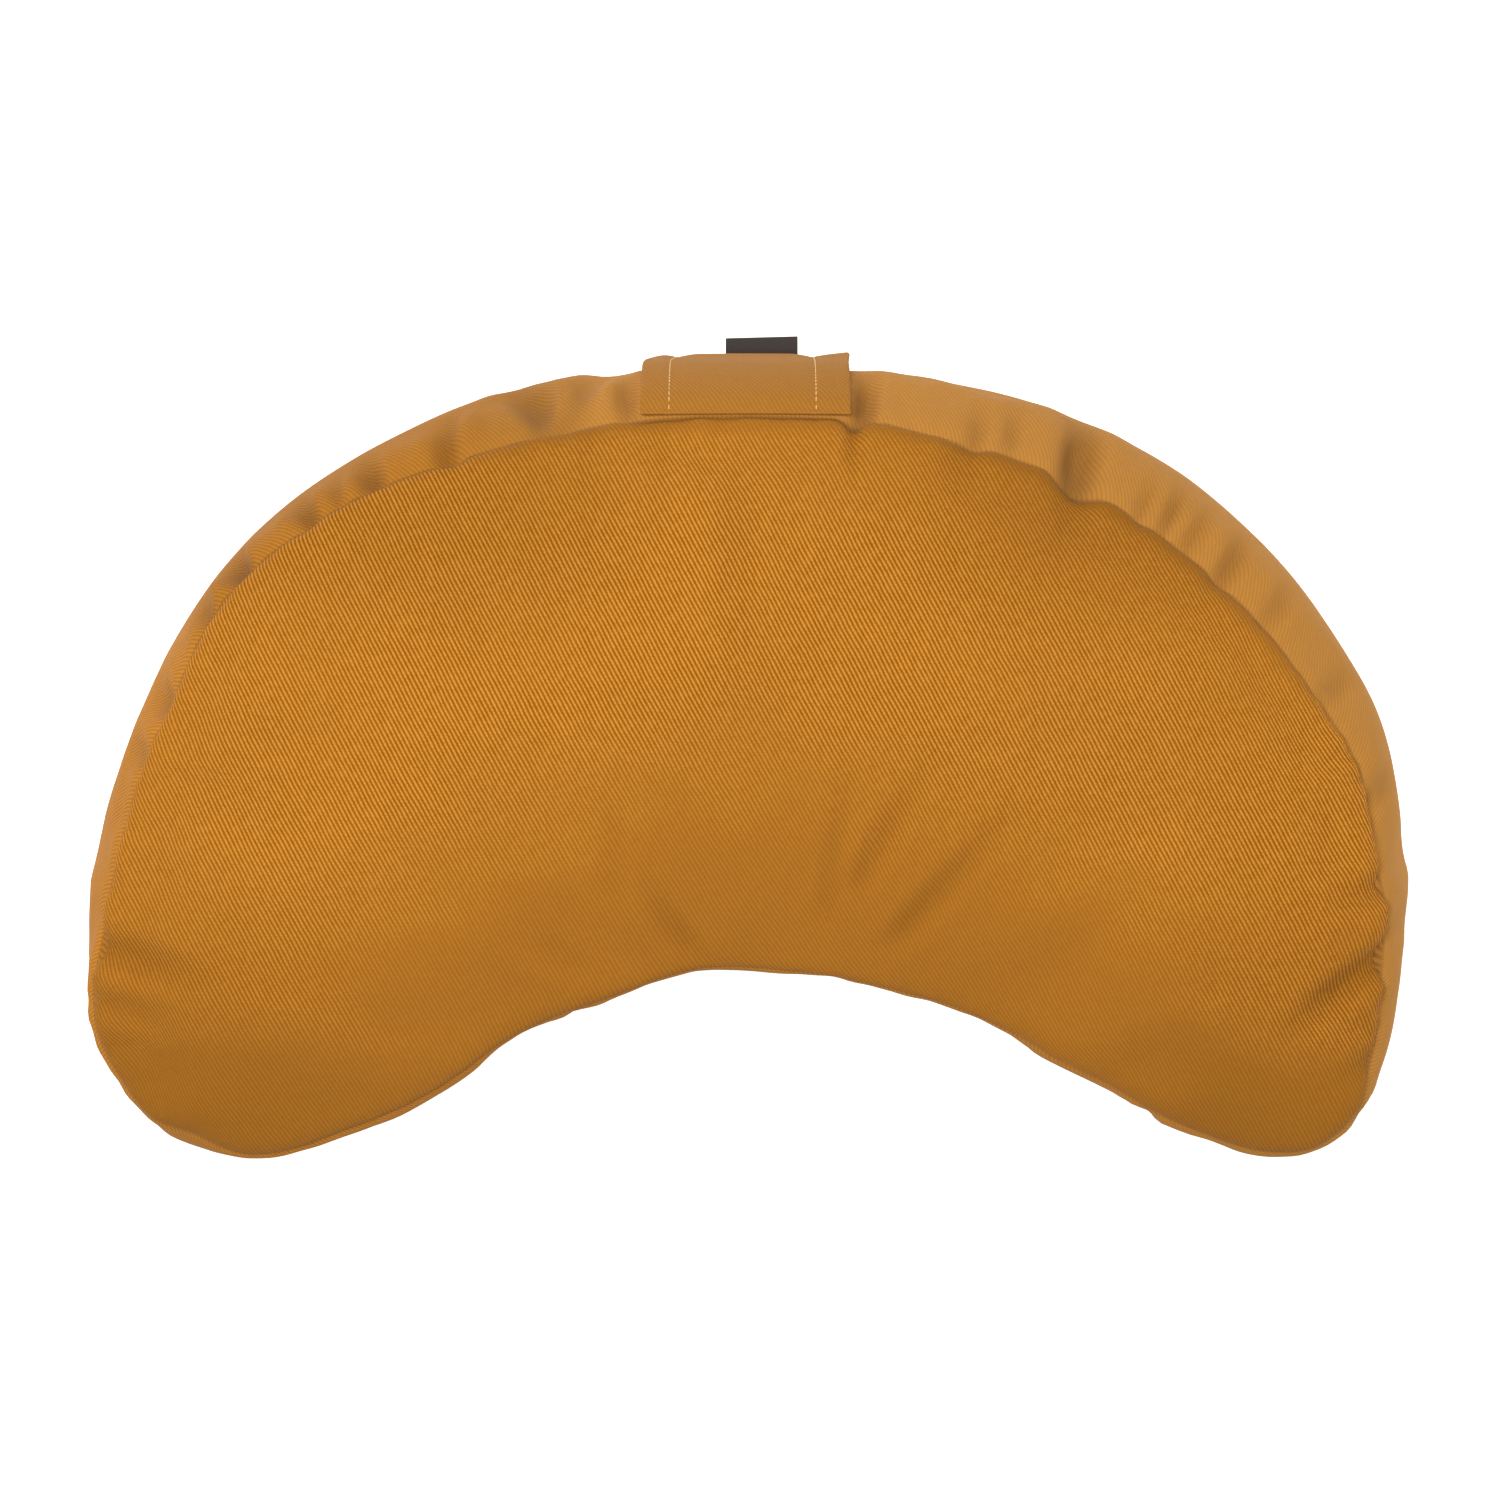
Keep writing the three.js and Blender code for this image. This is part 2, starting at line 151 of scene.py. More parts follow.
# How far a fold has faded at its far end, how soon it ends past both ends, in half widths, and the
# low shoulders beside it: their place and spread in half widths, and their share of the depth
FOLD_TAPER = 0.6
FOLD_END = 1.6
SHOULDER_PLACE = 1.7
SHOULDER_SPREAD = 0.5
SHOULDER_SHARE = 0.3
# Folds in the side band: way, share down from the top seam, half width in degrees, half height as a
# share, drift of the way from top to foot, and depth
BAND_FOLDS = [
    (-53.7, 0.07, 1.1, 0.18, 0, 2.7),
    (-49.5, 0.07, 1.2, 0.2, -1, 3.9),
    (-42.4, 0.06, 1, 0.17, 1, 2.7),
    (-38.7, 0.07, 1.1, 0.2, -1.5, 6),
    (-32.4, 0.06, 0.9, 0.19, -2, 4.5),
    (-30, 0.07, 0.8, 0.18, 2, 2.7),
    (-27.3, 0.05, 1, 0.2, -1, 4.5),
    (-21.6, 0.07, 1, 0.22, 3, 3.3),
    (-20.2, 0.12, 0.8, 0.15, 3, -1.2),
    (-14.9, 0.22, 1.3, 0.26, -3, 3.6),
    (-11.5, 0.2, 0.9, 0.22, 4, 3),
    (-10, 0.25, 0.7, 0.2, 4, 1.4),
    (-8.3, 0.12, 0.8, 0.24, 0, 3.4),
    (8.4, 0.08, 0.9, 0.24, 0, 5.4),
    (16.6, 0.06, 0.8, 0.13, -1, 2.4),
    (19, 0.1, 0.7, 0.16, 0, 2),
    (24.2, 0.13, 1.4, 0.26, -1.5, 6.9),
    (29.7, 0.08, 0.7, 0.13, 0, 2.1),
    (31.6, 0.1, 0.7, 0.16, 1, 3.3),
    (33.8, 0.1, 0.7, 0.15, 1, 2.4),
    (37.2, 0.1, 0.8, 0.15, 0, 3.6),
    (41.7, 0.1, 0.9, 0.15, 0, 2.2),
    (49, 0.12, 0.9, 0.16, 1, 2),
    (57, 0.1, 1, 0.15, -1, 2.1),
    (74, 0.2, 4.0, 0.25, 6, 0.9),
    (100, 0.75, 4.0, 0.2, -6, 1.0),
    (132, 0.15, 4.0, 0.25, -5, 1.4),
    (160, 0.7, 5.0, 0.25, 5, 1.8),
    (205, 0.2, 4.0, 0.2, 4, 1.6),
    (262, 0.75, 2.6, 0.2, 3, 1.6),
    (288, 0.2, 3.0, 0.2, -3, 1.4),
    (318, 0.75, 3.0, 0.25, 3, 1.6),
    (352, 0.25, 3.0, 0.2, -4, 1.5),
    (420, 0.7, 5.0, 0.25, 4, 1.8),
    (484, 0.45, 5.0, 0.45, 0, 1.8),
    (528, 0.25, 4.0, 0.2, -5, 0.9),
]
# Places where the cloth is drawn in at the top seam, or let out: way, half width, depth and how far
# from the seam it reaches
SEAM_DRAWS = [
    (-33, 6.0, 0.9, 8.0),
    (-21.4, 5.0, 1.6, 8.0),
    (-13, 5.0, 0.7, 8.0),
    (7.8, 3.8, 2.4, 7.0),
    (16.6, 4.0, 1.4, 7.0),
    (24.6, 8.0, 3.2, 10.0),
    (29.7, 4.0, 0.7, 7.0),
    (37.2, 5.0, 1.3, 8.0),
    (440, 18.0, -2.6, 16.0),
    (470, 15.0, 5.0, 14.0),
    (514, 30.0, -6.6, 20.0),
]
# The same for the whole height of the band, which shapes the outline: way, half width and depth
OUTLINE_DRAWS = [
    (-62, 22.0, -0.9),
    (-48, 24.0, 1.5),
    (-38, 60.0, 0.5),
    (-20, 48.0, 1.4),
    (34, 50.0, 0.8),
    (48, 30.0, 3.0),
    (64, 26.0, -0.9),
    (132, 9.0, -2.4),
    (144, 12.0, -1.8),
    (176, 20.0, 0.8),
    (208, 12.0, -1.3),
    (254, 18.0, -1.7),
    (310, 120.0, -1.9),
    (432, 20.0, 1.0),
    (472, 14.0, -1.0),
    (496, 20.0, 6.0),
    (512, 30.0, 5.2),
]
OUTLINE_REACH = 75.0
OUTLINE_FADE = (8.0, 45.0)
# Waves of the top seam: their length, height and how far from the seam they reach
SEAM_WAVE = (34.0, 0.9, 8.0)

# Small puckers where the cloth is eased into a seam, strewn from a fixed seed
PUCKER_SEED = 7
PUCKER_STEP = (8.0, 20.0)
PUCKER_WIDTH = (2.6, 5.0)
PUCKER_LENGTH = (9.0, 24.0)
PUCKER_DEPTH = (0.2, 0.75)
PUCKER_LEAN = 0.45
PUCKER_START = 2.4
PUCKER_REACH = 4.0
# The share of the puckers that the front bay has, and the runs from its middle where that ends
BAY_PUCKERS = 0.3
BAY_CALM = (260, 200)

WAY_SAMPLES = np.linspace(BACK_START, BACK_START + WAY_ROUND, 2481)


def smooth_rise(value, low, high):
    t = np.clip((value - low) / (high - low), 0, 1)
    return t * t * (3 - 2 * t)


def bell(value, width):
    """One at nothing, falling off softly past a width."""
    return np.exp(-((value / width) ** 2))


def runs_along(points):
    """How far along a line of points each of them lies."""
    return np.concatenate([[0], np.cumsum(np.linalg.norm(np.diff(points, axis=0), axis=1))])


def tangents_along(points):
    tangents = np.gradient(points, axis=0)
    return tangents / np.linalg.norm(tangents, axis=1, keepdims=True)


def section_curve(column):
    """A smooth closed curve through one column of SECTIONS, sampled at WAY_SAMPLES."""
    rows = np.array(SECTIONS, float)
    ways = np.concatenate([rows[-2:, 0] - WAY_ROUND, rows[:, 0], rows[:3, 0] + WAY_ROUND])
    values = np.concatenate([rows[-2:, column], rows[:, column], rows[:3, column]])
    start = np.searchsorted(ways, WAY_SAMPLES, side="right") - 1
    length = ways[start + 1] - ways[start]
    slopes = np.zeros_like(values)
    slopes[1:-1] = (values[2:] - values[:-2]) / (ways[2:] - ways[:-2])
    t = (WAY_SAMPLES - ways[start]) / length
    rise = 3 * t**2 - 2 * t**3
    leave = t * (1 - t) ** 2
    arrive = t**2 * (t - 1)
    climb = (values[start + 1] - values[start]) * rise
    return values[start] + climb + length * (slopes[start] * leave + slopes[start + 1] * arrive)


REACH = section_curve(1)
TOP_IN = section_curve(2)
BOTTOM_IN = section_curve(3)
SEAM_HEIGHT = section_curve(4)
PUFF = section_curve(5)


def one_lap(way):
    return np.mod(np.asarray(way, float) - BACK_START, WAY_ROUND) + BACK_START


def at_way(curve, way):
    return np.interp(one_lap(way), WAY_SAMPLES, curve)


def foot_and_bearing(way):
    """The foot on the spine, the outward direction and the crown's height there."""
    way = one_lap(way)
    on_bay = SPINE_HALF_ANGLE - (way - BAY_START)
    foot = np.select(
        [way <= RIGHT_END_START, way <= BAY_START, way <= LEFT_END_START],
        [way, np.full_like(way, SPINE_HALF_ANGLE), on_bay],
        -SPINE_HALF_ANGLE,
    )
    bearing = np.select(
        [way <= BAY_START, way <= LEFT_END_START],
        [way, foot + 180.0],
        way - LEFT_END_START + 180.0 - SPINE_HALF_ANGLE,
    )
    foot_rad = np.radians(foot)
    bearing_rad = np.radians(bearing)
    x = SPINE_CENTRE_X + SPINE_RADIUS * np.sin(foot_rad)
    y = SPINE_CENTRE_Y + SPINE_RADIUS * np.cos(foot_rad)
    crown = CROWN_MIDDLE + (CROWN_ENDS - CROWN_MIDDLE) * (foot / SPINE_HALF_ANGLE) ** 2
    return x, y, np.sin(bearing_rad), np.cos(bearing_rad), crown


def way_and_distance(x, y):
    """The way round and the distance from the spine of a point in plan."""
    dx = x - SPINE_CENTRE_X
    dy = y - SPINE_CENTRE_Y
    angle = np.degrees(np.arctan2(dx, dy))
    radius = np.hypot(dx, dy)
    outside = radius >= SPINE_RADIUS
    way = np.where(outside, angle, BAY_START + SPINE_HALF_ANGLE - angle)
    distance = np.abs(radius - SPINE_RADIUS)
    for side in (1, -1):
        end = math.radians(side * SPINE_HALF_ANGLE)
        end_x = x - SPINE_CENTRE_X - SPINE_RADIUS * math.sin(end)
        end_y = y - SPINE_CENTRE_Y - SPINE_RADIUS * math.cos(end)
        bearing = np.mod(np.degrees(np.arctan2(end_x, end_y)), 360.0)
        past = side * angle > SPINE_HALF_ANGLE
        turned = bearing if side == 1 else bearing + LEFT_END_START - 180.0 + SPINE_HALF_ANGLE
        way = np.where(past, turned, way)
        distance = np.where(past, np.hypot(end_x, end_y), distance)
    return way, distance


def seam_pull(distance):
    """How far the cloth is drawn in at a distance from a seam."""
    return SEAM_SINK * np.exp(-((distance / SEAM_SINK_WIDTH) ** 1.2))


def plain_edge(way):
    """Distance from the foot to the top seam, before the seam is drawn in."""
    return at_way(REACH, way) - at_way(TOP_IN, way) + SEAM_SINK


ARC_STEPS = np.linspace(0, 1, 65)


def panel_puff(share, puff):
    return np.clip(1 - share**CROWN_FLATNESS, 0, 1) ** puff


def panel_arc(steepness, puff, share):
    """Arc length, in parts of the edge distance, out to a share of the edge."""
    end = 1 - np.sqrt(1 - np.clip(share, 0, 1))
    spots = 1 - (1 - end[:, None] * ARC_STEPS) ** 2
    rise = steepness[:, None] * np.diff(panel_puff(spots, puff[:, None]))
    return np.hypot(np.diff(spots), rise).sum(axis=1)


def panel_share(steepness, puff, arc):
    """The share of the edge at which the arc length is reached: panel_arc the other way round."""
    low = np.zeros_like(arc)
    high = np.ones_like(arc)
    for _ in range(30):
        middle = (low + high) / 2
        short = panel_arc(steepness, puff, middle) < arc
        low = np.where(short, middle, low)
        high = np.where(short, high, middle)
    return (low + high) / 2


def top_panel(way, share):
    """Points of the top panel, their pattern coordinates and their distance from the seam."""
    foot_x, foot_y, out_x, out_y, crown = foot_and_bearing(way)
    edge = plain_edge(way)
    seam = at_way(SEAM_HEIGHT, way)
    puff = at_way(PUFF, way)
    steepness = (crown - seam) / edge
    arc = panel_arc(steepness, puff, share) * edge
    from_seam = panel_arc(steepness, puff, np.ones_like(share)) * edge - arc
    reach = edge * share - seam_pull(from_seam)
    lip = LIP_RISE * (from_seam / LIP_WIDTH) * np.exp(1 - from_seam / LIP_WIDTH)
    height = seam + (crown - seam) * panel_puff(share, puff) + lip
    points = np.stack([foot_x + out_x * reach, foot_y + out_y * reach, height], axis=-1)
    pattern = np.stack([foot_x + out_x * arc, foot_y + out_y * arc], axis=-1)
    return points, pattern, from_seam


def seam_inset(way, down):
    """How far the band's seams lie inside its widest line, shared out down the band."""
    return at_way(TOP_IN, way) * (1 - down) + at_way(BOTTOM_IN, way) * down - SEAM_SINK


def side_band(way, down):
    """Points of the side band at a share of the way down from the top seam."""
    foot_x, foot_y, out_x, out_y, _ = foot_and_bearing(way)
    from_seam = BAND_LENGTH_DOWN * np.minimum(down, 1 - down)
    reach = at_way(REACH, way) - seam_inset(way, down) * (2 * down - 1) ** 2 - seam_pull(from_seam)
    height = at_way(SEAM_HEIGHT, way) * (1 - down) + BOTTOM_SEAM_HEIGHT * down
    points = np.stack([foot_x + out_x * reach, foot_y + out_y * reach, height], axis=-1)
    return points, from_seam


def bottom_edge(way):
    """Distance from the foot to the bottom seam, before the seam is drawn in."""
    return at_way(REACH, way) - at_way(BOTTOM_IN, way) + SEAM_SINK


def bottom_panel(way, rolled):
    """Points of the bottom panel at a distance in from the bottom seam."""
    foot_x, foot_y, out_x, out_y, _ = foot_and_bearing(way)
    reach = bottom_edge(way) - rolled - seam_pull(rolled)
    height = BOTTOM_SEAM_HEIGHT * np.clip(1 - rolled / BOTTOM_ROLL, 0, 1) ** 2
    points = np.stack([foot_x + out_x * reach, foot_y + out_y * reach, height], axis=-1)
    return points, points[:, :2]


# The run along the widest line of the band, clockwise from the middle of the back
DENSE_WAYS = np.linspace(0, WAY_ROUND, 6201)
WIDEST_LINE, _ = side_band(DENSE_WAYS, np.full_like(DENSE_WAYS, 0.5))
DENSE_RUNS = runs_along(WIDEST_LINE)
RUN_LENGTH = DENSE_RUNS[-1]


def run_at(way):
    return np.interp(np.mod(way, WAY_ROUND), DENSE_WAYS, DENSE_RUNS)


def even_ways(spacing):
    """Ways round that stand evenly along the band, and their runs."""
    count = round(RUN_LENGTH / spacing)
    runs = np.arange(count) * RUN_LENGTH / count
    return np.interp(runs, DENSE_RUNS, DENSE_WAYS), runs


def hex_grid(spacing):
    """A grid of staggered points over the whole footprint."""
    left, right, front, back = PLAN_BOX
    rows = np.arange(front, back, spacing * math.sqrt(3) / 2)
    xs = np.arange(left, right, spacing)
    grid = [(x + (spacing / 2 if i % 2 else 0), y) for i, y in enumerate(rows) for x in xs]
    return np.array(grid)


def filled(plan, ring_count):
    """Triangles over a closed ring of points and the points inside it, which come after the ring's."""
    coords = [Vector((float(x), float(y))) for x, y in plan]
    edges = [(i, (i + 1) % ring_count) for i in range(ring_count)]
    _, _, faces, originals, _, _ = geometry.delaunay_2d_cdt(coords, edges, [], 1, 1e-6)
    source = [first[0] if first else -1 for first in originals]
    return [tuple(source[i] for i in face) for face in faces]


TOP_PART, BAND_PART, BOTTOM_PART = 0, 1, 2
FAR = 1e3


class Cloth:
    """The cushion's cloth as one closed mesh: points, faces, and what each point lies on."""

    def __init__(self):
        self.points = []
        self.facts = []
        self.faces = []
        self.patterns = []
        self.count = 0

    def add(self, points, part, way, run, from_top, from_bottom):
        """Adds points and notes their part, way, run along the band and distances to the seams."""
        first = self.count
        self.count += len(points)
        facts = (part, way, run, from_top, from_bottom)
        columns = [np.broadcast_to(np.asarray(fact, float), (len(points),)) for fact in facts]
        self.points.append(points)
        self.facts.append(np.stack(columns, axis=-1))
        return np.arange(first, self.count)

    def face(self, corners, pattern):
        self.faces.append(corners)
        self.patterns.append(pattern)

    def join(self, one, other, pattern_of):
        """Quads between two rings of points."""
        for i in range(len(one)):
            j = (i + 1) % len(one)
            corners = (one[i], one[j], other[j], other[i])
            self.face(corners, tuple(pattern_of[c] for c in corners))

    def fill(self, ring, middle, pattern_of, order):
        """Triangles over a ring and the points in its middle, facing up for order 1, down for -1."""
        labels = np.concatenate([ring, middle])
        plan = np.concatenate(self.points)[labels][:, :2]
        for face in filled(plan, len(ring)):
            corners = tuple(labels[i] for i in face[::order])
            self.face(corners, tuple(pattern_of[c] for c in corners))


def band_downs(spacing, fine_seams):
    """Shares of the way down the band, crowded at both seams where the mesh is to be fine."""
    rings = SEAM_RINGS if fine_seams else []
    start = rings[-1] if rings else 0.0
    count = round((BAND_LENGTH_DOWN - 2 * start) / spacing)
    middle = np.linspace(start, BAND_LENGTH_DOWN - start, count + 1)
    near_top = np.array([0.0] + rings[:-1])
    downs = np.concatenate([near_top, middle, BAND_LENGTH_DOWN - near_top])
    return np.unique(np.round(downs, 6)) / BAND_LENGTH_DOWN


def add_band(cloth, ways, runs, spacing, fine_seams):
    """Adds the side band and gives its first and last rows, which are the two seams."""
    columns = len(ways)
    downs = band_downs(spacing, fine_seams)
    band = []
    for down in downs:
        points, _ = side_band(ways, np.full(columns, down))
        from_top = down * BAND_LENGTH_DOWN
        band.append(cloth.add(points, BAND_PART, ways, runs, from_top, BAND_LENGTH_DOWN - from_top))
    run_ends = np.append(runs[1:], RUN_LENGTH)
    for row in range(len(downs) - 1):
        v0, v1 = downs[row : row + 2] * BAND_LENGTH_DOWN
        for i in range(columns):
            j = (i + 1) % columns
            corners = (band[row][i], band[row][j], band[row + 1][j], band[row + 1][i])
            u0, u1 = runs[i], run_ends[i]
            cloth.face(corners, ((u0, v0), (u1, v0), (u1, v1), (u0, v1)))
    return band[0], band[-1]


def add_top(cloth, ways, runs, seam, spacing, fine_seams):
    """Adds the edge rings of the top panel inside its seam, then its filled middle."""
    ones = np.ones(len(ways))
    _, _, _, _, crown = foot_and_bearing(ways)
    edge = plain_edge(ways)
    steepness = (crown - at_way(SEAM_HEIGHT, ways)) / edge
    puff = at_way(PUFF, ways)
    whole = panel_arc(steepness, puff, ones) * edge
    _, seam_pattern, _ = top_panel(ways, ones)
    pattern_of = dict(zip(seam, seam_pattern))
    outer = seam
    rings = SEAM_RINGS if fine_seams else []
    for distance in rings:
        share = panel_share(steepness, puff, (whole - distance) / edge)
        points, pattern, from_seam = top_panel(ways, share)
        inner = cloth.add(points, TOP_PART, ways, runs, from_seam, FAR)
        pattern_of.update(zip(inner, pattern))
        cloth.join(inner, outer, pattern_of)
        outer = inner
    grid = hex_grid(spacing)
    way, distance = way_and_distance(grid[:, 0], grid[:, 1])
    share = distance / plain_edge(way)
    _, _, from_seam = top_panel(way, np.clip(share, 0, 1))
    start = rings[-1] if rings else 0.0
    inside = (share < 1) & (from_seam > start + RING_CLEARANCE * spacing)
    way = way[inside]
    points, pattern, from_seam = top_panel(way, share[inside])
    middle = cloth.add(points, TOP_PART, way, run_at(way), from_seam, FAR)
    pattern_of.update(zip(middle, pattern))
    cloth.fill(outer, middle, pattern_of, 1)


def add_bottom(cloth, ways, runs, seam, spacing, fine_seams):
    """Adds the rolled edge of the bottom panel inside its seam, then its flat middle."""
    columns = len(ways)
    _, seam_plan = bottom_panel(ways, np.zeros(columns))
    plan_of = dict(zip(seam, seam_plan))
    outer = seam
    for distance in ROLL_RINGS if fine_seams else ROLL_RINGS[2::3]:
        points, plan = bottom_panel(ways, np.full(columns, distance))
        inner = cloth.add(points, BOTTOM_PART, ways, runs, FAR, distance)
        plan_of.update(zip(inner, plan))
        cloth.join(outer, inner, plan_of)
        outer = inner
    grid = hex_grid(spacing)
    way, distance = way_and_distance(grid[:, 0], grid[:, 1])
    rolled = bottom_edge(way) - distance
    inside = rolled > ROLL_RINGS[-1] + RING_CLEARANCE * spacing
    way = way[inside]
    points = np.column_stack([grid[inside], np.zeros(len(way))])
    middle = cloth.add(points, BOTTOM_PART, way, run_at(way), FAR, rolled[inside])
    plan_of.update(zip(middle, points[:, :2]))
    cloth.fill(outer, middle, plan_of, -1)


def make_cloth(spacing, under_spacing, fine_seams):
    """The whole cloth, from the middle of the top panel over the band to the middle underneath."""
    cloth = Cloth()
    ways, runs = even_ways(spacing)
    top_seam, bottom_seam = add_band(cloth, ways, runs, spacing, fine_seams)
    add_top(cloth, ways, runs, top_seam, spacing, fine_seams)
    add_bottom(cloth, ways, runs, bottom_seam, under_spacing, fine_seams)
    return cloth


def mesh_from(name, points, faces, patterns, **point_layers):
    """A Blender mesh from points in millimetres, with the pattern coordinates as a UV map in metres.

    Each point layer is a further UV map, made from a pair of numbers at each point.
    """
    mesh = bpy.data.meshes.new(name)
    mesh.from_pydata((points * MM).tolist(), [], [tuple(int(c) for c in f) for f in faces])
    layer = mesh.uv_layers.new(name="pattern")
    flat = np.array([uv for face in patterns for uv in face], float) * MM
    layer.data.foreach_set("uv", flat.ravel())
    corners = np.array([corner for face in faces for corner in face], int)
    for layer_name, values in point_layers.items():
        layer = mesh.uv_layers.new(name=layer_name)
        layer.data.foreach_set("uv", values[corners].ravel())
    mesh.shade_smooth()
    mesh.update()
    return mesh


# The seams layer holds the distances to the top and the bottom seam in metres, up to this far
SEAM_FAR = 0.05
# How much of the painted sheen, a paler and less saturated colour, the strap has
STRAP_PAINTED_SHEEN = 0.5


def no_seams(points):
    """The layers of a piece of calm cloth that has no seam: full painted shade, and the strap's share
    of painted sheen.
    """
    values = {"seams": SEAM_FAR, "calm_and_painted_shade": 1.0, "painted_sheen": STRAP_PAINTED_SHEEN}
    return {name: np.full((len(points), 2), value) for name, value in values.items()}


def point_normals(points, faces):
    """Area-weighted normals at the points of a mesh of triangles and quads."""
    normals = np.zeros_like(points)
    for size in (3, 4):
        group = np.array([f for f in faces if len(f) == size])
        across = points[group[:, 2]] - points[group[:, 0]]
        if size == 4:
            cross = np.cross(across, points[group[:, 3]] - points[group[:, 1]])
        else:
            cross = np.cross(points[group[:, 1]] - points[group[:, 0]], across)
        for corner in range(size):
            np.add.at(normals, group[:, corner], cross)
    return normals / np.maximum(np.linalg.norm(normals, axis=1, keepdims=True), 1e-12)


def fold_shape(aside):
    """A soft trough with low shoulders, across a fold, for a distance in half widths."""
    shoulders = np.exp(-((np.abs(aside) - SHOULDER_PLACE) ** 2) / SHOULDER_SPREAD)
    return bell(aside, 1) - SHOULDER_SHARE * shoulders


def panel_fold_depth(x, y):
    depth = np.zeros_like(x)
    for from_x, from_y, to_x, to_y, wide, deep in PANEL_FOLDS:
        along = np.array([to_x - from_x, to_y - from_y], float)
        length = np.hypot(*along)
        along /= length
        run = (x - from_x) * along[0] + (y - from_y) * along[1]
        aside = (x - from_x) * along[1] - (y - from_y) * along[0]
        past = np.maximum(np.maximum(-run, run - length), 0)
        fade = 1 - FOLD_TAPER * np.clip(run / length, 0, 1) ** 2
        depth += deep * fade * fold_shape(aside / wide) * bell(past, FOLD_END * wide)
    return depth


def band_fold_depth(way, down):
    depth = np.zeros_like(way)
    for at, middle, wide, tall, drift, deep in BAND_FOLDS:
        aside = np.mod(way - at - drift * (down - middle) + WAY_ROUND / 2, WAY_ROUND) - WAY_ROUND / 2
        depth += deep * fold_shape(aside / wide) * bell(down - middle, tall)
    return depth


def puckers(seed):
    """Rows of run, half width, length, depth and lean for the puckers along one side of a seam."""
    draw = random.Random(seed)
    spans = (PUCKER_WIDTH, PUCKER_LENGTH, PUCKER_DEPTH, (-PUCKER_LEAN, PUCKER_LEAN))
    rows = []
    run = draw.uniform(*PUCKER_STEP)
    while run < RUN_LENGTH:
        rows.append((run, *(draw.uniform(*span) for span in spans)))
        run += draw.uniform(*PUCKER_STEP)
    return rows


def apart(run, at):
    """Signed distance round the cushion from one run to another."""
    return np.mod(run - at + RUN_LENGTH / 2, RUN_LENGTH) - RUN_LENGTH / 2


def pucker_depth(rows, run, from_seam):
    depth = np.zeros_like(run)
    for at, wide, long, deep, lean in rows:
        aside = apart(run, at + lean * from_seam)
        near = np.abs(aside) < PUCKER_REACH * wide
        fade = np.exp(-((from_seam[near] / long) ** 1.5))
        depth[near] += deep * fold_shape(aside[near] / wide) * fade
    in_bay = smooth_rise(np.abs(apart(run, run_at(BAY_MIDDLE))), *BAY_CALM)
    return depth * (1 - (1 - BAY_PUCKERS) * in_bay) * smooth_rise(from_seam, 0, PUCKER_START)


def seam_draw(part, run, from_top):
    """How far the top seam and the cloth beside it are drawn in, besides what its pull does."""
    length, amount, reach = SEAM_WAVE
    waves = np.array([noise.noise(Vector((r / length, 0.5, 0.5))) for r in run])
    draw = amount * waves * bell(from_top, reach)
    for way, wide, deep, far in SEAM_DRAWS:
        aside = apart(run, run_at(way))
        draw += deep * np.exp(-((aside / wide) ** 2) - (from_top / far) ** 2)
    spread = np.exp(-((from_top / OUTLINE_REACH) ** 4))
    spread *= 1 - (part == TOP_PART) * smooth_rise(from_top, *OUTLINE_FADE)
    for way, wide, deep in OUTLINE_DRAWS:
        draw += deep * spread * bell(apart(run, run_at(way)), wide)
    return draw


# The strap handle: width, thickness and its path down the band, as height and gap from the band
HANDLE_WIDTH = 70.0
HANDLE_THICKNESS = 2.3
HANDLE_BOW = 0.3
HANDLE_PATH = [
    (106, -2.5),
    (104.6, -2.1),
    (102.6, -0.8),
    (99, 0.4),
    (92, 0.8),
    (82, 0.7),
    (68, 0.6),
    (54, 1),
    (44, 2.8),
    (35, 5.8),
    (28, 8.4),
    (22, 10),
    (18.4, 8.6),
    (16, 4.2),
    (14.7, 0.2),
]
HANDLE_END_THICKNESS = 0.3
HANDLE_END_LENGTH = 6.0
HANDLE_ROWS = 100
HANDLE_COLUMNS = 62
STITCH_LINES = (-25.5, 23.5)
STITCH_PITCH = 3.0
STITCH_LENGTH = 2.2
STITCH_RADIUS = 0.24
STITCH_LIFT = 0.12
# A stitch's sides, its flatness, and the places along it with their share of the radius
STITCH_SIDES = 6
STITCH_FLATNESS = 0.8
STITCH_PROFILE = ((-0.5, 0.25), (-0.4, 0.8), (-0.15, 1.0), (0.15, 1.0), (0.4, 0.8), (0.5, 0.25))

# The tab in the bottom seam: a folded ribbon
LABEL_WIDTH = 25.0
LABEL_MIDDLE_X = 5.5
LABEL_PATH = [(-0.7, 12.4), (8, 11.9), (16, 11.3), (25.2, 10.6)]
LABEL_LAYER = 0.42
LABEL_SPREAD = 0.29
LABEL_SLANT = 0.027
LABEL_ROUNDING = 0.2
LABEL_ROWS = 24
LABEL_COLUMNS = 22
# The tab's wave: its height, how fast it turns across the width, and where it starts
LABEL_WAVE = (0.12, 0.22, 0.6)

# Both straps: the steps of the mesh at a rounded edge in parts of the rounding, the least square of
# the edge's thickness, and how far apart the two faces lie in the pattern
EDGE_STEPS = np.array([1.0, 0.65, 0.35, 0.12, 0.0])
EDGE_LEAST = 0.03
FACE_SHIFT = 0.3
CURVE_SAMPLES = 61


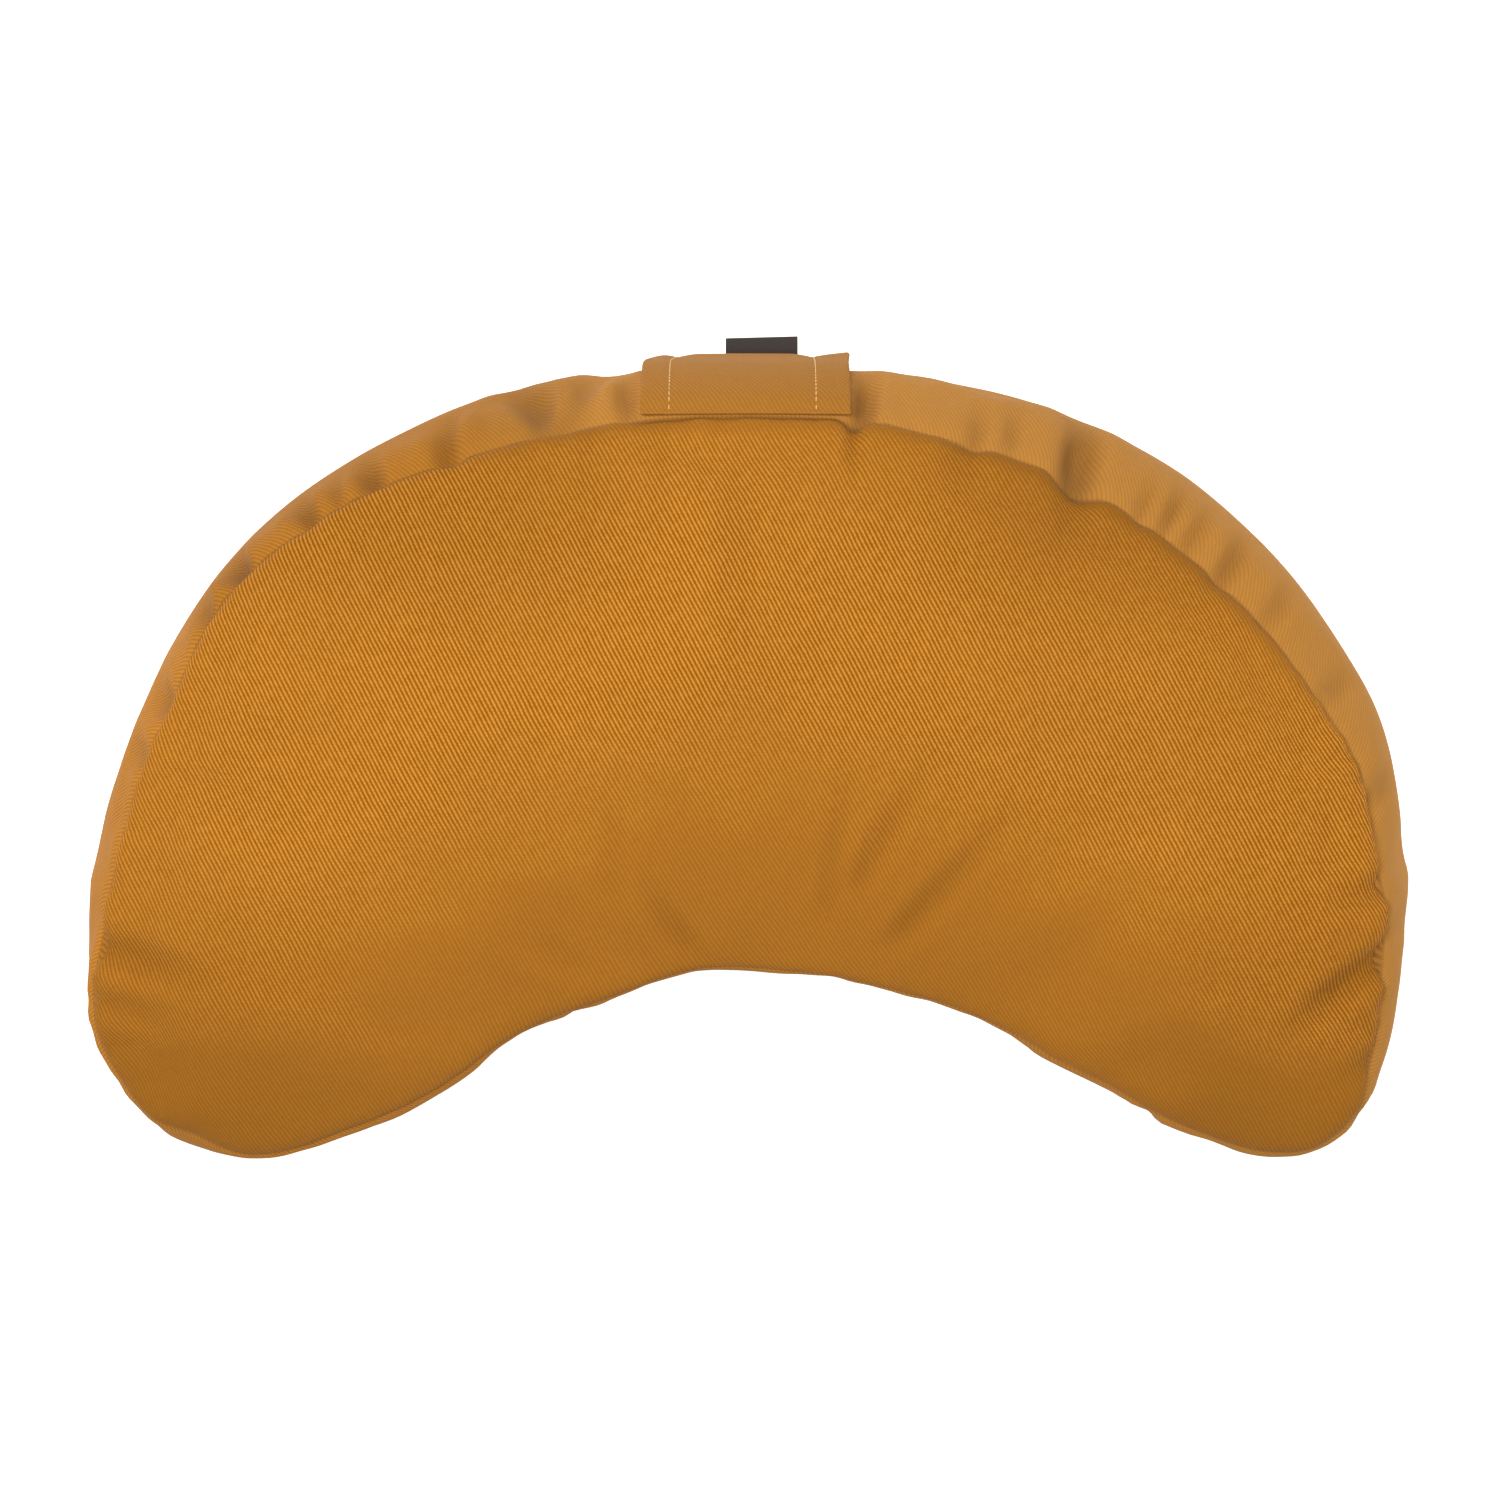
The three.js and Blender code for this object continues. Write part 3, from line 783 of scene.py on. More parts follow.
def curve_through(points, count):
    """Points evenly along a smooth curve through the given points, with the curve's tangents."""
    points = np.array(points, float)
    before = 2 * points[0] - points[1]
    after = 2 * points[-1] - points[-2]
    knots = np.concatenate([[before], points, [after]])
    gaps = np.sqrt(np.linalg.norm(np.diff(knots, axis=0), axis=1))
    dense = []
    for i in range(1, len(knots) - 2):
        p0, p1, p2, p3 = knots[i - 1 : i + 3]
        d0, d1, d2 = gaps[i - 1 : i + 2]
        leave = ((p1 - p0) / d0 - (p2 - p0) / (d0 + d1) + (p2 - p1) / d1) * d1
        arrive = ((p2 - p1) / d1 - (p3 - p1) / (d1 + d2) + (p3 - p2) / d2) * d1
        t = np.linspace(0, 1, CURVE_SAMPLES)[:, None]
        t = t if i == 1 else t[1:]
        dense.append(
            (2 * t**3 - 3 * t**2 + 1) * p1
            + (t**3 - 2 * t**2 + t) * leave
            + (3 * t**2 - 2 * t**3) * p2
            + (t**3 - t**2) * arrive
        )
    dense = np.concatenate(dense)
    run = runs_along(dense)
    marks = np.linspace(0, run[-1], count)
    even = np.stack([np.interp(marks, run, dense[:, k]) for k in range(dense.shape[1])], axis=-1)
    return even, tangents_along(even), marks


def band_middle_y(height):
    """Where the band's plain bulge stands at the middle of the back, at a height."""
    seam = at_way(SEAM_HEIGHT, 0)
    down = (seam - height) / (seam - BOTTOM_SEAM_HEIGHT)
    bulge = seam_inset(0, down) * (2 * down - 1) ** 2
    return SPINE_CENTRE_Y + SPINE_RADIUS + at_way(REACH, 0) - bulge


def tube_faces(rows, round_count):
    """Quads round a stack of closed loops, with the two ends closed across."""
    faces = []
    for row in range(rows - 1):
        a = row * round_count
        b = a + round_count
        for i in range(round_count):
            j = (i + 1) % round_count
            faces.append((a + i, a + j, b + j, b + i))
    last = (rows - 1) * round_count
    for i in range(round_count // 2 - 1):
        near = (i + 1, i, round_count - 1 - i, round_count - 2 - i)
        faces.append(near)
        faces.append(tuple(last + near[k] for k in (1, 0, 3, 2)))
    return faces


def outward_faces(mesh):
    """Turns every face of a closed mesh outwards."""
    work = bmesh.new()
    work.from_mesh(mesh)
    bmesh.ops.recalc_face_normals(work, faces=work.faces)
    work.to_mesh(mesh)
    work.free()
    mesh.update()


def in_scene(name, data):
    """A new object in the scene."""
    made = bpy.data.objects.new(name, data)
    bpy.context.scene.collection.objects.link(made)
    return made


def piece(name, mesh, material, slot_name, *replaced):
    """An object on the root body that stands for the CAD nodes that it replaces."""
    made = in_scene(name, mesh)
    mesh.materials.append(material)
    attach(made, "root")
    if replaced:
        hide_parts(*replaced)
    return made


def rounded_half(aside, half_width, half_thickness, rounding):
    """Half thickness of a strap with rounded edges, at a distance from its middle line."""
    past = np.clip((np.abs(aside) - half_width + rounding) / rounding, 0, 1)
    return half_thickness * np.sqrt(np.maximum(1 - past**2, EDGE_LEAST))


def strap_asides(half_width, rounding, count):
    """Distances from a strap's middle line, crowded at its two edges."""
    near_edge = half_width - rounding * EDGE_STEPS
    middle = np.linspace(-near_edge[0], near_edge[0], count)[1:-1]
    return np.concatenate([-near_edge[::-1], middle, near_edge])


def strap_mesh(name, path, tangents, marks, asides, half_of, shift_of):
    """A closed strap round a path in the plane of Y and Z, its width along X."""
    outward = np.stack([-tangents[:, 1], tangents[:, 0]], axis=-1)
    loops = []
    patterns = []
    both = np.concatenate([asides, asides[::-1]])
    sides = np.concatenate([np.ones(len(asides)), -np.ones(len(asides))])
    for spot, out, mark in zip(path, outward, marks):
        offset = sides * half_of(both, mark, sides)
        y = spot[0] + out[0] * offset
        z = spot[1] + out[1] * offset
        move = shift_of(both, mark, spot)
        loops.append(np.stack([both + move[0], y + move[1], z + move[2]], axis=-1))
        patterns.append(np.stack([both + sides * FACE_SHIFT, np.full(len(both), mark)], axis=-1))
    points = np.concatenate(loops)
    pattern_points = np.concatenate(patterns)
    faces = tube_faces(len(path), len(both))
    corner_patterns = [tuple(pattern_points[i] for i in face) for face in faces]
    mesh = mesh_from(name, points, faces, corner_patterns, **no_seams(points))
    outward_faces(mesh)
    return mesh


# The handle's own small unevenness: its rounded edges, the grooves of the stitches and the hems
HANDLE_EDGE_ROUNDING = 1.1
STITCH_GROOVE = 0.35
STITCH_GROOVE_WIDTH = 1.1
HEM_RISE = 0.15
# The slack lower half: the height of its middle and its spread, and the width and depth of the
# ripples at the stitch lines
SLACK_HEIGHT = 28.0
SLACK_SPREAD = 16.0
RIPPLE_WIDTH = 4.5
RIPPLE_DEPTH = 0.9
# Its corners, each from a distance off the middle over a length: the right one stands up and out, the
# left one sinks
RIGHT_CORNER = (27.0, 8.0)
RIGHT_RISE = 0.8
RIGHT_DRIFT = 0.5
LEFT_CORNER = (28.0, 7.0)
LEFT_SINK = 1.8
LEFT_DRIFT = 2.2
SIDE_WAVE = (0.4, 0.2)


def handle_half(aside, mark, sides):
    """Half thickness of the strap, thinner at both hems' grooves and where it is sewn in above."""
    taper = (1 - HANDLE_END_THICKNESS) * smooth_rise(mark, 0, HANDLE_END_LENGTH)
    thickness = HANDLE_THICKNESS * (HANDLE_END_THICKNESS + taper)
    half = rounded_half(aside, HANDLE_WIDTH / 2, thickness / 2, HANDLE_EDGE_ROUNDING)
    in_hem = (aside < STITCH_LINES[0]) | (aside > STITCH_LINES[1])
    grooves = sum(bell(aside - line, STITCH_GROOVE_WIDTH) for line in STITCH_LINES)
    return half + np.where(sides > 0, HEM_RISE * in_hem - STITCH_GROOVE * grooves, 0)


def corner_lift(distance, start, length):
    return np.clip((distance - start) / length, 0, 1) ** 2


def handle_shift(aside, mark, spot):
    """The bow across the strap, and in its slack half the ripples and the two corners."""
    low = bell(spot[1] - SLACK_HEIGHT, SLACK_SPREAD)
    across = 2 * aside / HANDLE_WIDTH
    ripple = sum(bell(aside - line, RIPPLE_WIDTH) for line in STITCH_LINES)
    right = corner_lift(aside, *RIGHT_CORNER)
    left = corner_lift(-aside, *LEFT_CORNER)
    slack = -RIPPLE_DEPTH * ripple + RIGHT_RISE * right - LEFT_SINK * left
    wave = SIDE_WAVE[0] * np.sin(aside * SIDE_WAVE[1])
    x = low * (wave + LEFT_DRIFT * np.clip(-across, 0, 1) + RIGHT_DRIFT * right)
    return x, -HANDLE_BOW * across**2 + low * slack, np.zeros_like(aside)


def make_handle(material):
    middle = [(band_middle_y(h) + gap + HANDLE_THICKNESS / 2, h) for h, gap in HANDLE_PATH]
    path, tangents, marks = curve_through(middle, HANDLE_ROWS)
    asides = strap_asides(HANDLE_WIDTH / 2, HANDLE_EDGE_ROUNDING, HANDLE_COLUMNS)
    mesh = strap_mesh("strap_handle", path, tangents, marks, asides, handle_half, handle_shift)
    handle = piece("strap_handle", mesh, material, "twill", "handle")
    return path, tangents, marks


def add_stitch(points, faces, middle, along, up):
    """A short rounded stitch, added to lists of points and faces."""
    side = np.cross(along, up)
    first = sum(len(group) for group in points)
    turn = np.radians(np.arange(STITCH_SIDES) * 360.0 / STITCH_SIDES)
    ring = np.cos(turn)[:, None] * side + np.sin(turn)[:, None] * up * STITCH_FLATNESS
    for spot, part in STITCH_PROFILE:
        points.append(middle + along * spot * STITCH_LENGTH + ring * STITCH_RADIUS * part)
    last = len(STITCH_PROFILE) - 1
    for row in range(last):
        a = first + row * STITCH_SIDES
        b = a + STITCH_SIDES
        for i in range(STITCH_SIDES):
            j = (i + 1) % STITCH_SIDES
            faces.append((a + i, a + j, b + j, b + i))
    faces.append(tuple(first + i for i in reversed(range(STITCH_SIDES))))
    faces.append(tuple(first + last * STITCH_SIDES + i for i in range(STITCH_SIDES)))


def make_topstitch(material, path, tangents, marks):
    """Two rows of topstitching down the strap, one beside each hem."""
    points = []
    faces = []
    for line in STITCH_LINES:
        aside = np.array([line])
        for mark in np.arange(STITCH_PITCH, marks[-1] - STITCH_PITCH, STITCH_PITCH):
            spot = np.array([np.interp(mark, marks, path[:, k]) for k in range(2)])
            tangent = np.array([np.interp(mark, marks, tangents[:, k]) for k in range(2)])
            out = np.array([0.0, -tangent[1], tangent[0]])
            half = handle_half(aside, mark, np.ones(1))[0]
            move = handle_shift(aside, mark, spot)
            middle = np.array([line + move[0][0], spot[0] + move[1][0], spot[1]])
            middle = middle + out * (half + STITCH_LIFT)
            along = np.array([0.0, tangent[0], tangent[1]])
            add_stitch(points, faces, middle, along, out)
    points = np.concatenate(points)
    patterns = [tuple(points[i][[0, 2]] for i in face) for face in faces]
    mesh = mesh_from("handle_topstitch", points, faces, patterns)
    outward_faces(mesh)
    piece("handle_topstitch", mesh, material, "twill")


def label_half(aside, mark, sides):
    return rounded_half(aside, LABEL_WIDTH / 2, LABEL_LAYER / 2, LABEL_ROUNDING)


def label_shift(aside, mark, spot):
    rise, speed, start = LABEL_WAVE
    wave = rise * np.sin(aside * speed + start)
    return np.full_like(aside, LABEL_MIDDLE_X), LABEL_SLANT * aside, wave


def make_label(material):
    seam, _ = side_band(np.array([0.0]), np.array([1.0]))
    path = [(seam[0, 1] + out, z) for out, z in LABEL_PATH]
    middle, tangents, _ = curve_through(path, LABEL_ROWS)
    upward = np.stack([-tangents[:, 1], tangents[:, 0]], axis=-1) * LABEL_SPREAD
    turn = np.radians(np.linspace(90, -90, 9))[1:-1, None]
    end = middle[-1] + LABEL_SPREAD * np.cos(turn) * tangents[-1] + np.sin(turn) * upward[-1]
    ribbon = np.concatenate([middle + upward, end, (middle - upward)[::-1]])
    tangents = tangents_along(ribbon)
    marks = runs_along(ribbon)
    asides = strap_asides(LABEL_WIDTH / 2, LABEL_ROUNDING, LABEL_COLUMNS)
    mesh = strap_mesh("side_tab", ribbon, tangents, marks, asides, label_half, label_shift)
    label = piece("side_tab", mesh, material, "tab_cloth", "label")


# Size of the patches where the cloth is calmer or less so
CALM_CLOUD_SIZE = 45.0

# Unevenness of the whole cushion, from the hulls inside
LUMP_SIZES = ((26.0, 0.45), (60.0, 0.8))


# Where the relief fades: lumps within this of a seam, folds of the band at its seams by this share,
# and all of it between these distances inside the bottom seam
LUMP_START = 12
SEAM_FOLD_FADE = 0.6
FLAT_SPAN = (14, 26)
# Beside the strap the cloth is plain, out to this far and over this blend, behind this line in plan
STRAP_SHELTER = (38.5, 3)
BACK_LINE = 90


def beside_strap(points, part, reach, blend):
    """One on the band beside and under the strap, out to a reach from its middle."""
    behind = (points[:, 1] > BACK_LINE) * (part == BAND_PART)
    return smooth_rise(reach - np.abs(points[:, 0]), 0, blend) * behind


def lump_height(points):
    """Soft lumps of the filling under the cloth."""
    height = np.zeros(len(points))
    for size, amount in LUMP_SIZES:
        spots = points / size
        height += amount * np.array([noise.noise(Vector(spot)) for spot in spots])
    return height


def cloth_relief(points, facts):
    """Height of the folds, puckers and lumps at each point, outwards from the cloth."""
    part, way, run, from_top, from_bottom = facts.T
    on_top = part == TOP_PART
    on_band = part == BAND_PART
    on_bottom = part == BOTTOM_PART
    height = lump_height(points) * smooth_rise(np.minimum(from_top, from_bottom), 0, LUMP_START)
    height[on_top] -= panel_fold_depth(points[on_top, 0], points[on_top, 1])
    down = from_top[on_band] / BAND_LENGTH_DOWN
    fade = 1 - SEAM_FOLD_FADE * ((2 * down - 1) ** 2) ** 4
    height[on_band] -= band_fold_depth(way[on_band], down) * fade
    sides = (
        (on_top, from_top),
        (on_band, from_top),
        (on_band, from_bottom),
        (on_bottom, from_bottom),
    )
    for number, (chosen, from_seam) in enumerate(sides):
        rows = puckers(PUCKER_SEED + number)
        height[chosen] -= pucker_depth(rows, run[chosen], from_seam[chosen])
    height *= 1 - beside_strap(points, part, *STRAP_SHELTER)
    height *= 1 - on_bottom * smooth_rise(from_bottom, *FLAT_SPAN)
    return height


def window(value, low, high, blend):
    """One inside a span, falling softly to nothing past its ends."""
    return smooth_rise(value, low - blend, low) * (1 - smooth_rise(value, high, high + blend))


# Spans for the calm and the painted shade of the cloth: ways round with their blend, millimetres in
# plan or from the top seam, and for the slope the share of a normal that points to the front
CALM_SLOPE = (0.0, 0.48)
CALM_BACK = (-14, 42, 10)
CALM_FRONT = (10, 90)
CALM_LEFT = (150, 215)
CALM_BAND = (-22, 240, 12)
LIP_NEAR = (5, 10)
LIP_FAR = (6, 55)
LOBE_SPAN = (40, 100)
CORNER_SPANS = ((10, 90), (30, 80))
FRONT_SPANS = ((90, 170), (20, 80))
PAINTED_SHADE_BAND = (-42, -14, 4)
# Ways round where the band's painted sheen rises and where it falls off
PAINTED_SHEEN_START = (-24, -8)
PAINTED_SHEEN_END = (105, 250)
# Shares of each in the calm, and then in the painted shade, which darkens the cloth where less light
# falls on it
LIP_CALM = (0.7, 0.45)
END_CALM = (0.35, 0.3)
CLOUD_CALM = 0.25
BAND_CALM = 0.88
UNDER_CALM = 0.5
CALM_IN_SHADE = 0.75
LOBE_SHADE = 0.2
CORNER_SHADE = 0.65
FRONT_SHADE = 0.5
LIP_SHADE = 0.4
BAND_SHADE = 0.8
# How deep a pinch or a fold is for full painted shade in its crease, and the most painted shade that it
# gives
PINCH_DEPTH = 2.8
PINCH_SHADE = 1.6
FOLD_DEPTH = 3
FOLD_SHADE = 0.8
# The share of painted sheen that the band has all round
LEFT_PAINTED_SHEEN = 0.2


def calm_and_shade(points, normals, facts):
    """How calm the wales are and how much painted shade darkens the cloth, as a pair for each point."""
    part, way, _, from_top, _ = facts.T
    on_top = part == TOP_PART
    on_band = part == BAND_PART
    way = one_lap(way)
    beyond = np.abs(points[:, 0])
    behind = points[:, 1]
    clouds = np.array([noise.noise(Vector(spot)) for spot in points / CALM_CLOUD_SIZE])
    slope = smooth_rise(-normals[:, 1], *CALM_SLOPE)
    near = LIP_CALM[0] * (1 - smooth_rise(from_top, *LIP_NEAR))
    far = LIP_CALM[1] * (1 - smooth_rise(from_top, *LIP_FAR))
    lip = window(way, *CALM_BACK) * (near + far)
    front = END_CALM[0] * smooth_rise(-behind, *CALM_FRONT)
    left = END_CALM[1] * smooth_rise(-points[:, 0], *CALM_LEFT)
    panel = np.clip(slope + lip + (front + left) + CLOUD_CALM * clouds, 0, 1)
    band = BAND_CALM + (1 - BAND_CALM) * window(way, *CALM_BAND)
    calm = np.where(on_band, band, np.where(on_top, panel, UNDER_CALM))
    lobes = smooth_rise(-behind, *LOBE_SPAN)
    corners = smooth_rise(beyond, *CORNER_SPANS[0]) * smooth_rise(behind, *CORNER_SPANS[1])
    far_front = smooth_rise(beyond, *FRONT_SPANS[0]) * smooth_rise(-behind, *FRONT_SPANS[1])
    # Painted shade on the panel: darker on the calm front slopes and lobes, the back corners, the front
    # ends and the back lip
    panel_shade = calm * (CALM_IN_SHADE + LOBE_SHADE * lobes) + CORNER_SHADE * corners
    panel_shade = panel_shade + FRONT_SHADE * far_front + LIP_SHADE * lip
    # Painted shade on the band: darker along the back left
    shade = np.where(on_top, panel_shade, on_band * BAND_SHADE * window(way, *PAINTED_SHADE_BAND))
    # Painted shade in the creases of the band's pinches and the panel's folds
    pinch = band_fold_depth(way[on_band], from_top[on_band] / BAND_LENGTH_DOWN)
    shade[on_band] += np.clip(pinch / PINCH_DEPTH, 0, PINCH_SHADE)
    fold = panel_fold_depth(points[on_top, 0], points[on_top, 1])
    shade[on_top] += FOLD_SHADE * np.clip(fold / FOLD_DEPTH, 0, 1)
    return np.stack([calm, shade], axis=-1)


def painted_sheen_of(facts):
    """How much painted sheen, a paler and less saturated colour, each point gets, as a pair of numbers;
    only the band gets any.
    """
    way = one_lap(facts[:, 1])
    right = smooth_rise(way, *PAINTED_SHEEN_START) * (1 - smooth_rise(way, *PAINTED_SHEEN_END))
    painted_sheen_weight = (facts[:, 0] == BAND_PART) * (LEFT_PAINTED_SHEEN + (1 - LEFT_PAINTED_SHEEN) * right)
    return np.stack([painted_sheen_weight, np.zeros_like(painted_sheen_weight)], axis=-1)


def make_cushion(material):
    cloth = make_cloth(CLOTH_GRID, UNDERSIDE_GRID, True)
    points = np.concatenate(cloth.points)
    facts = np.concatenate(cloth.facts)
    points = points + settled_moves(points, facts, cloth.faces)
    normals = point_normals(points, cloth.faces)
    points = points + normals * cloth_relief(points, facts)[:, None]
    _, _, out_x, out_y, _ = foot_and_bearing(facts[:, 1])
    drawn = seam_draw(facts[:, 0], facts[:, 2], facts[:, 3])
    points[:, :2] -= np.stack([out_x, out_y], axis=-1) * drawn[:, None]
    points[:, 2] = np.maximum(points[:, 2], 0)
    seams = np.minimum(facts[:, 3:5] * MM, SEAM_FAR)
    calm_and_painted_shade = calm_and_shade(points, normals, facts)
    layers = {"seams": seams, "calm_and_painted_shade": calm_and_painted_shade, "painted_sheen": painted_sheen_of(facts)}
    mesh = mesh_from("cushion_cloth", points, cloth.faces, cloth.patterns, **layers)
    cushion = piece("cushion_cloth", mesh, material, "twill", "cushion")


# The settling of the cloth under the filling's pressure, run on a coarse copy. The cloth is cut a
# little larger than its place and eased into shorter seams.
SETTLE_FRAMES = 20
SETTLE_PRESSURE = 4.0
SETTLE_EASE = -0.03
SETTLE_SEAM_SHRINK = 0.012
SETTLE_SEAM_WIDTH = 5.0
SETTLE_LIMIT = 2.2
SETTLE_SMOOTHING = 20
FINE_SMOOTHING = 6
# Where the wrinkles fade: beside the strap and this far from the top seam, underneath between these
# distances, and towards the middle of the bay, where this share is lost
WRINKLE_SHELTER = (44.0, 8)
WRINKLE_TOP = 4
WRINKLE_UNDER = (4, 16)
WRINKLE_BAY = (300, 220)
BAY_LOSS = 0.5
SOLVER_SETTINGS = {
    "quality": 5,
    "mass": 0.3,
    "tension_stiffness": 15,
    "compression_stiffness": 15,
    "shear_stiffness": 5,
    "bending_stiffness": 0.6,
    "use_pressure": True,
    "uniform_pressure_force": SETTLE_PRESSURE,
    "vertex_group_mass": "pinned",
    "vertex_group_shrink": "sewn",
    "shrink_min": SETTLE_EASE,
    "shrink_max": SETTLE_SEAM_SHRINK,
}


def mesh_edges(faces):
    """Each pair of neighbouring points of a mesh once, as two arrays."""
    rims = [zip(face, (*face[1:], face[0])) for face in faces]
    pairs = {(min(a, b), max(a, b)) for rim in rims for a, b in rim}
    return np.array(sorted(pairs)).T


def smoothed(values, edges, rounds):
    """Values at points, averaged with their neighbours' over and over."""
    first, second = edges
    near = np.bincount(np.concatenate([first, second]), minlength=len(values))[:, None]
    for _ in range(rounds):
        total = np.zeros_like(values)
        np.add.at(total, first, values[second])
        np.add.at(total, second, values[first])
        values = (values + total / near) / 2
    return values


def settle(cloth):
    """Runs the cloth solver on a coarse cloth and gives how far each of its points moved."""
    start = np.concatenate(cloth.points)
    facts = np.concatenate(cloth.facts)
    mesh = mesh_from("settling", start, cloth.faces, cloth.patterns)
    trial = in_scene("settling", mesh)
    scene = bpy.context.scene
    part, _, _, from_top, from_bottom = facts.T
    from_seam = np.minimum(from_top, from_bottom)
    held = (part == BOTTOM_PART) & (from_bottom > BOTTOM_ROLL / 2)
    behind = (start[:, 1] > BACK_LINE) & (part == BAND_PART)
    under_strap = behind & (np.abs(start[:, 0]) < HANDLE_WIDTH / 2)
    pinned = trial.vertex_groups.new(name="pinned")
    pinned.add(np.flatnonzero(held | under_strap).tolist(), 1.0, "REPLACE")
    sewn = trial.vertex_groups.new(name="sewn")
    for index in np.flatnonzero(from_seam < 2 * SETTLE_SEAM_WIDTH).tolist():
        sewn.add([index], math.exp(-((from_seam[index] / SETTLE_SEAM_WIDTH) ** 2)), "REPLACE")

    solver = trial.modifiers.new("settle", "CLOTH")
    for setting, value in SOLVER_SETTINGS.items():
        setattr(solver.settings, setting, value)
    solver.settings.effector_weights.gravity = 0
    solver.collision_settings.use_collision = False
    solver.point_cache.frame_start = 1
    solver.point_cache.frame_end = SETTLE_FRAMES
    for moment in range(1, SETTLE_FRAMES + 1):
        scene.frame_set(moment)
    settled = trial.evaluated_get(bpy.context.evaluated_depsgraph_get()).data
    end = np.empty(len(start) * 3, dtype=np.float32)
    settled.vertices.foreach_get("co", end)
    moves = end.reshape(-1, 3).astype(float) / MM - start
    bpy.data.objects.remove(trial)
    bpy.data.meshes.remove(mesh)
    scene.frame_set(1)
    return start, moves


def settled_moves(points, facts, faces):
    """Wrinkles from the settling, for the fine cloth: the moves less their slow swelling."""
    coarse = make_cloth(SETTLE_GRID, UNDERSIDE_GRID, False)
    start, moves = settle(coarse)
    edges = mesh_edges(coarse.faces)
    wrinkles = moves - smoothed(moves, edges, SETTLE_SMOOTHING)
    size = np.linalg.norm(wrinkles, axis=1, keepdims=True)
    wrinkles *= SETTLE_LIMIT * np.tanh(size / SETTLE_LIMIT) / np.maximum(size, 1e-9)
    quads = [face for face in coarse.faces if len(face) == 4]
    halves = [face[:3] for face in coarse.faces] + [(c, d, a) for a, _, c, d in quads]
    corners = [tuple(int(corner) for corner in half) for half in halves]
    tree = BVHTree.FromPolygons([Vector(p) for p in start], corners, all_triangles=True)
    carried = np.zeros_like(points)
    for index, point in enumerate(points):
        spot, _, face, _ = tree.find_nearest(Vector(point))
        trio = list(corners[face])
        carried[index] = barycentric(spot, start[trio]) @ wrinkles[trio]
    part, _, run, from_top, from_bottom = facts.T
    sheltered = beside_strap(points, part, *WRINKLE_SHELTER) * (from_top > WRINKLE_TOP)
    under = smooth_rise(from_bottom, *WRINKLE_UNDER) * (part == BOTTOM_PART)
    in_bay = smooth_rise(np.abs(apart(run, run_at(BAY_MIDDLE))), *WRINKLE_BAY)
    carried *= ((1 - sheltered) * (1 - under) * (1 - BAY_LOSS * in_bay))[:, None]
    return smoothed(carried, mesh_edges(faces), FINE_SMOOTHING)


def barycentric(spot, trio):
    """The three weights of a spot inside a triangle."""
    a, b, c = trio
    normal = np.cross(b - a, c - a)
    area = normal @ normal
    spot = np.array(spot)
    first = np.cross(c - b, spot - b) @ normal / area
    second = np.cross(a - c, spot - c) @ normal / area
    return np.array([first, second, 1 - first - second])


def linear_colour(red, green, blue):
    """A colour given from 0 to 255, as Blender's linear one."""
    parts = [value / 255 for value in (red, green, blue)]
    parts = [v / 12.92 if v <= 0.04045 else ((v + 0.055) / 1.055) ** 2.4 for v in parts]
    return (*parts, 1.0)


SHEEN_TINT = linear_colour(255, 234, 196)
SHEEN_ROUGHNESS = 0.5
CLOTH_SPECULAR = 0.07
NOISE_DETAIL = 2.0
TURN = 2 * math.pi


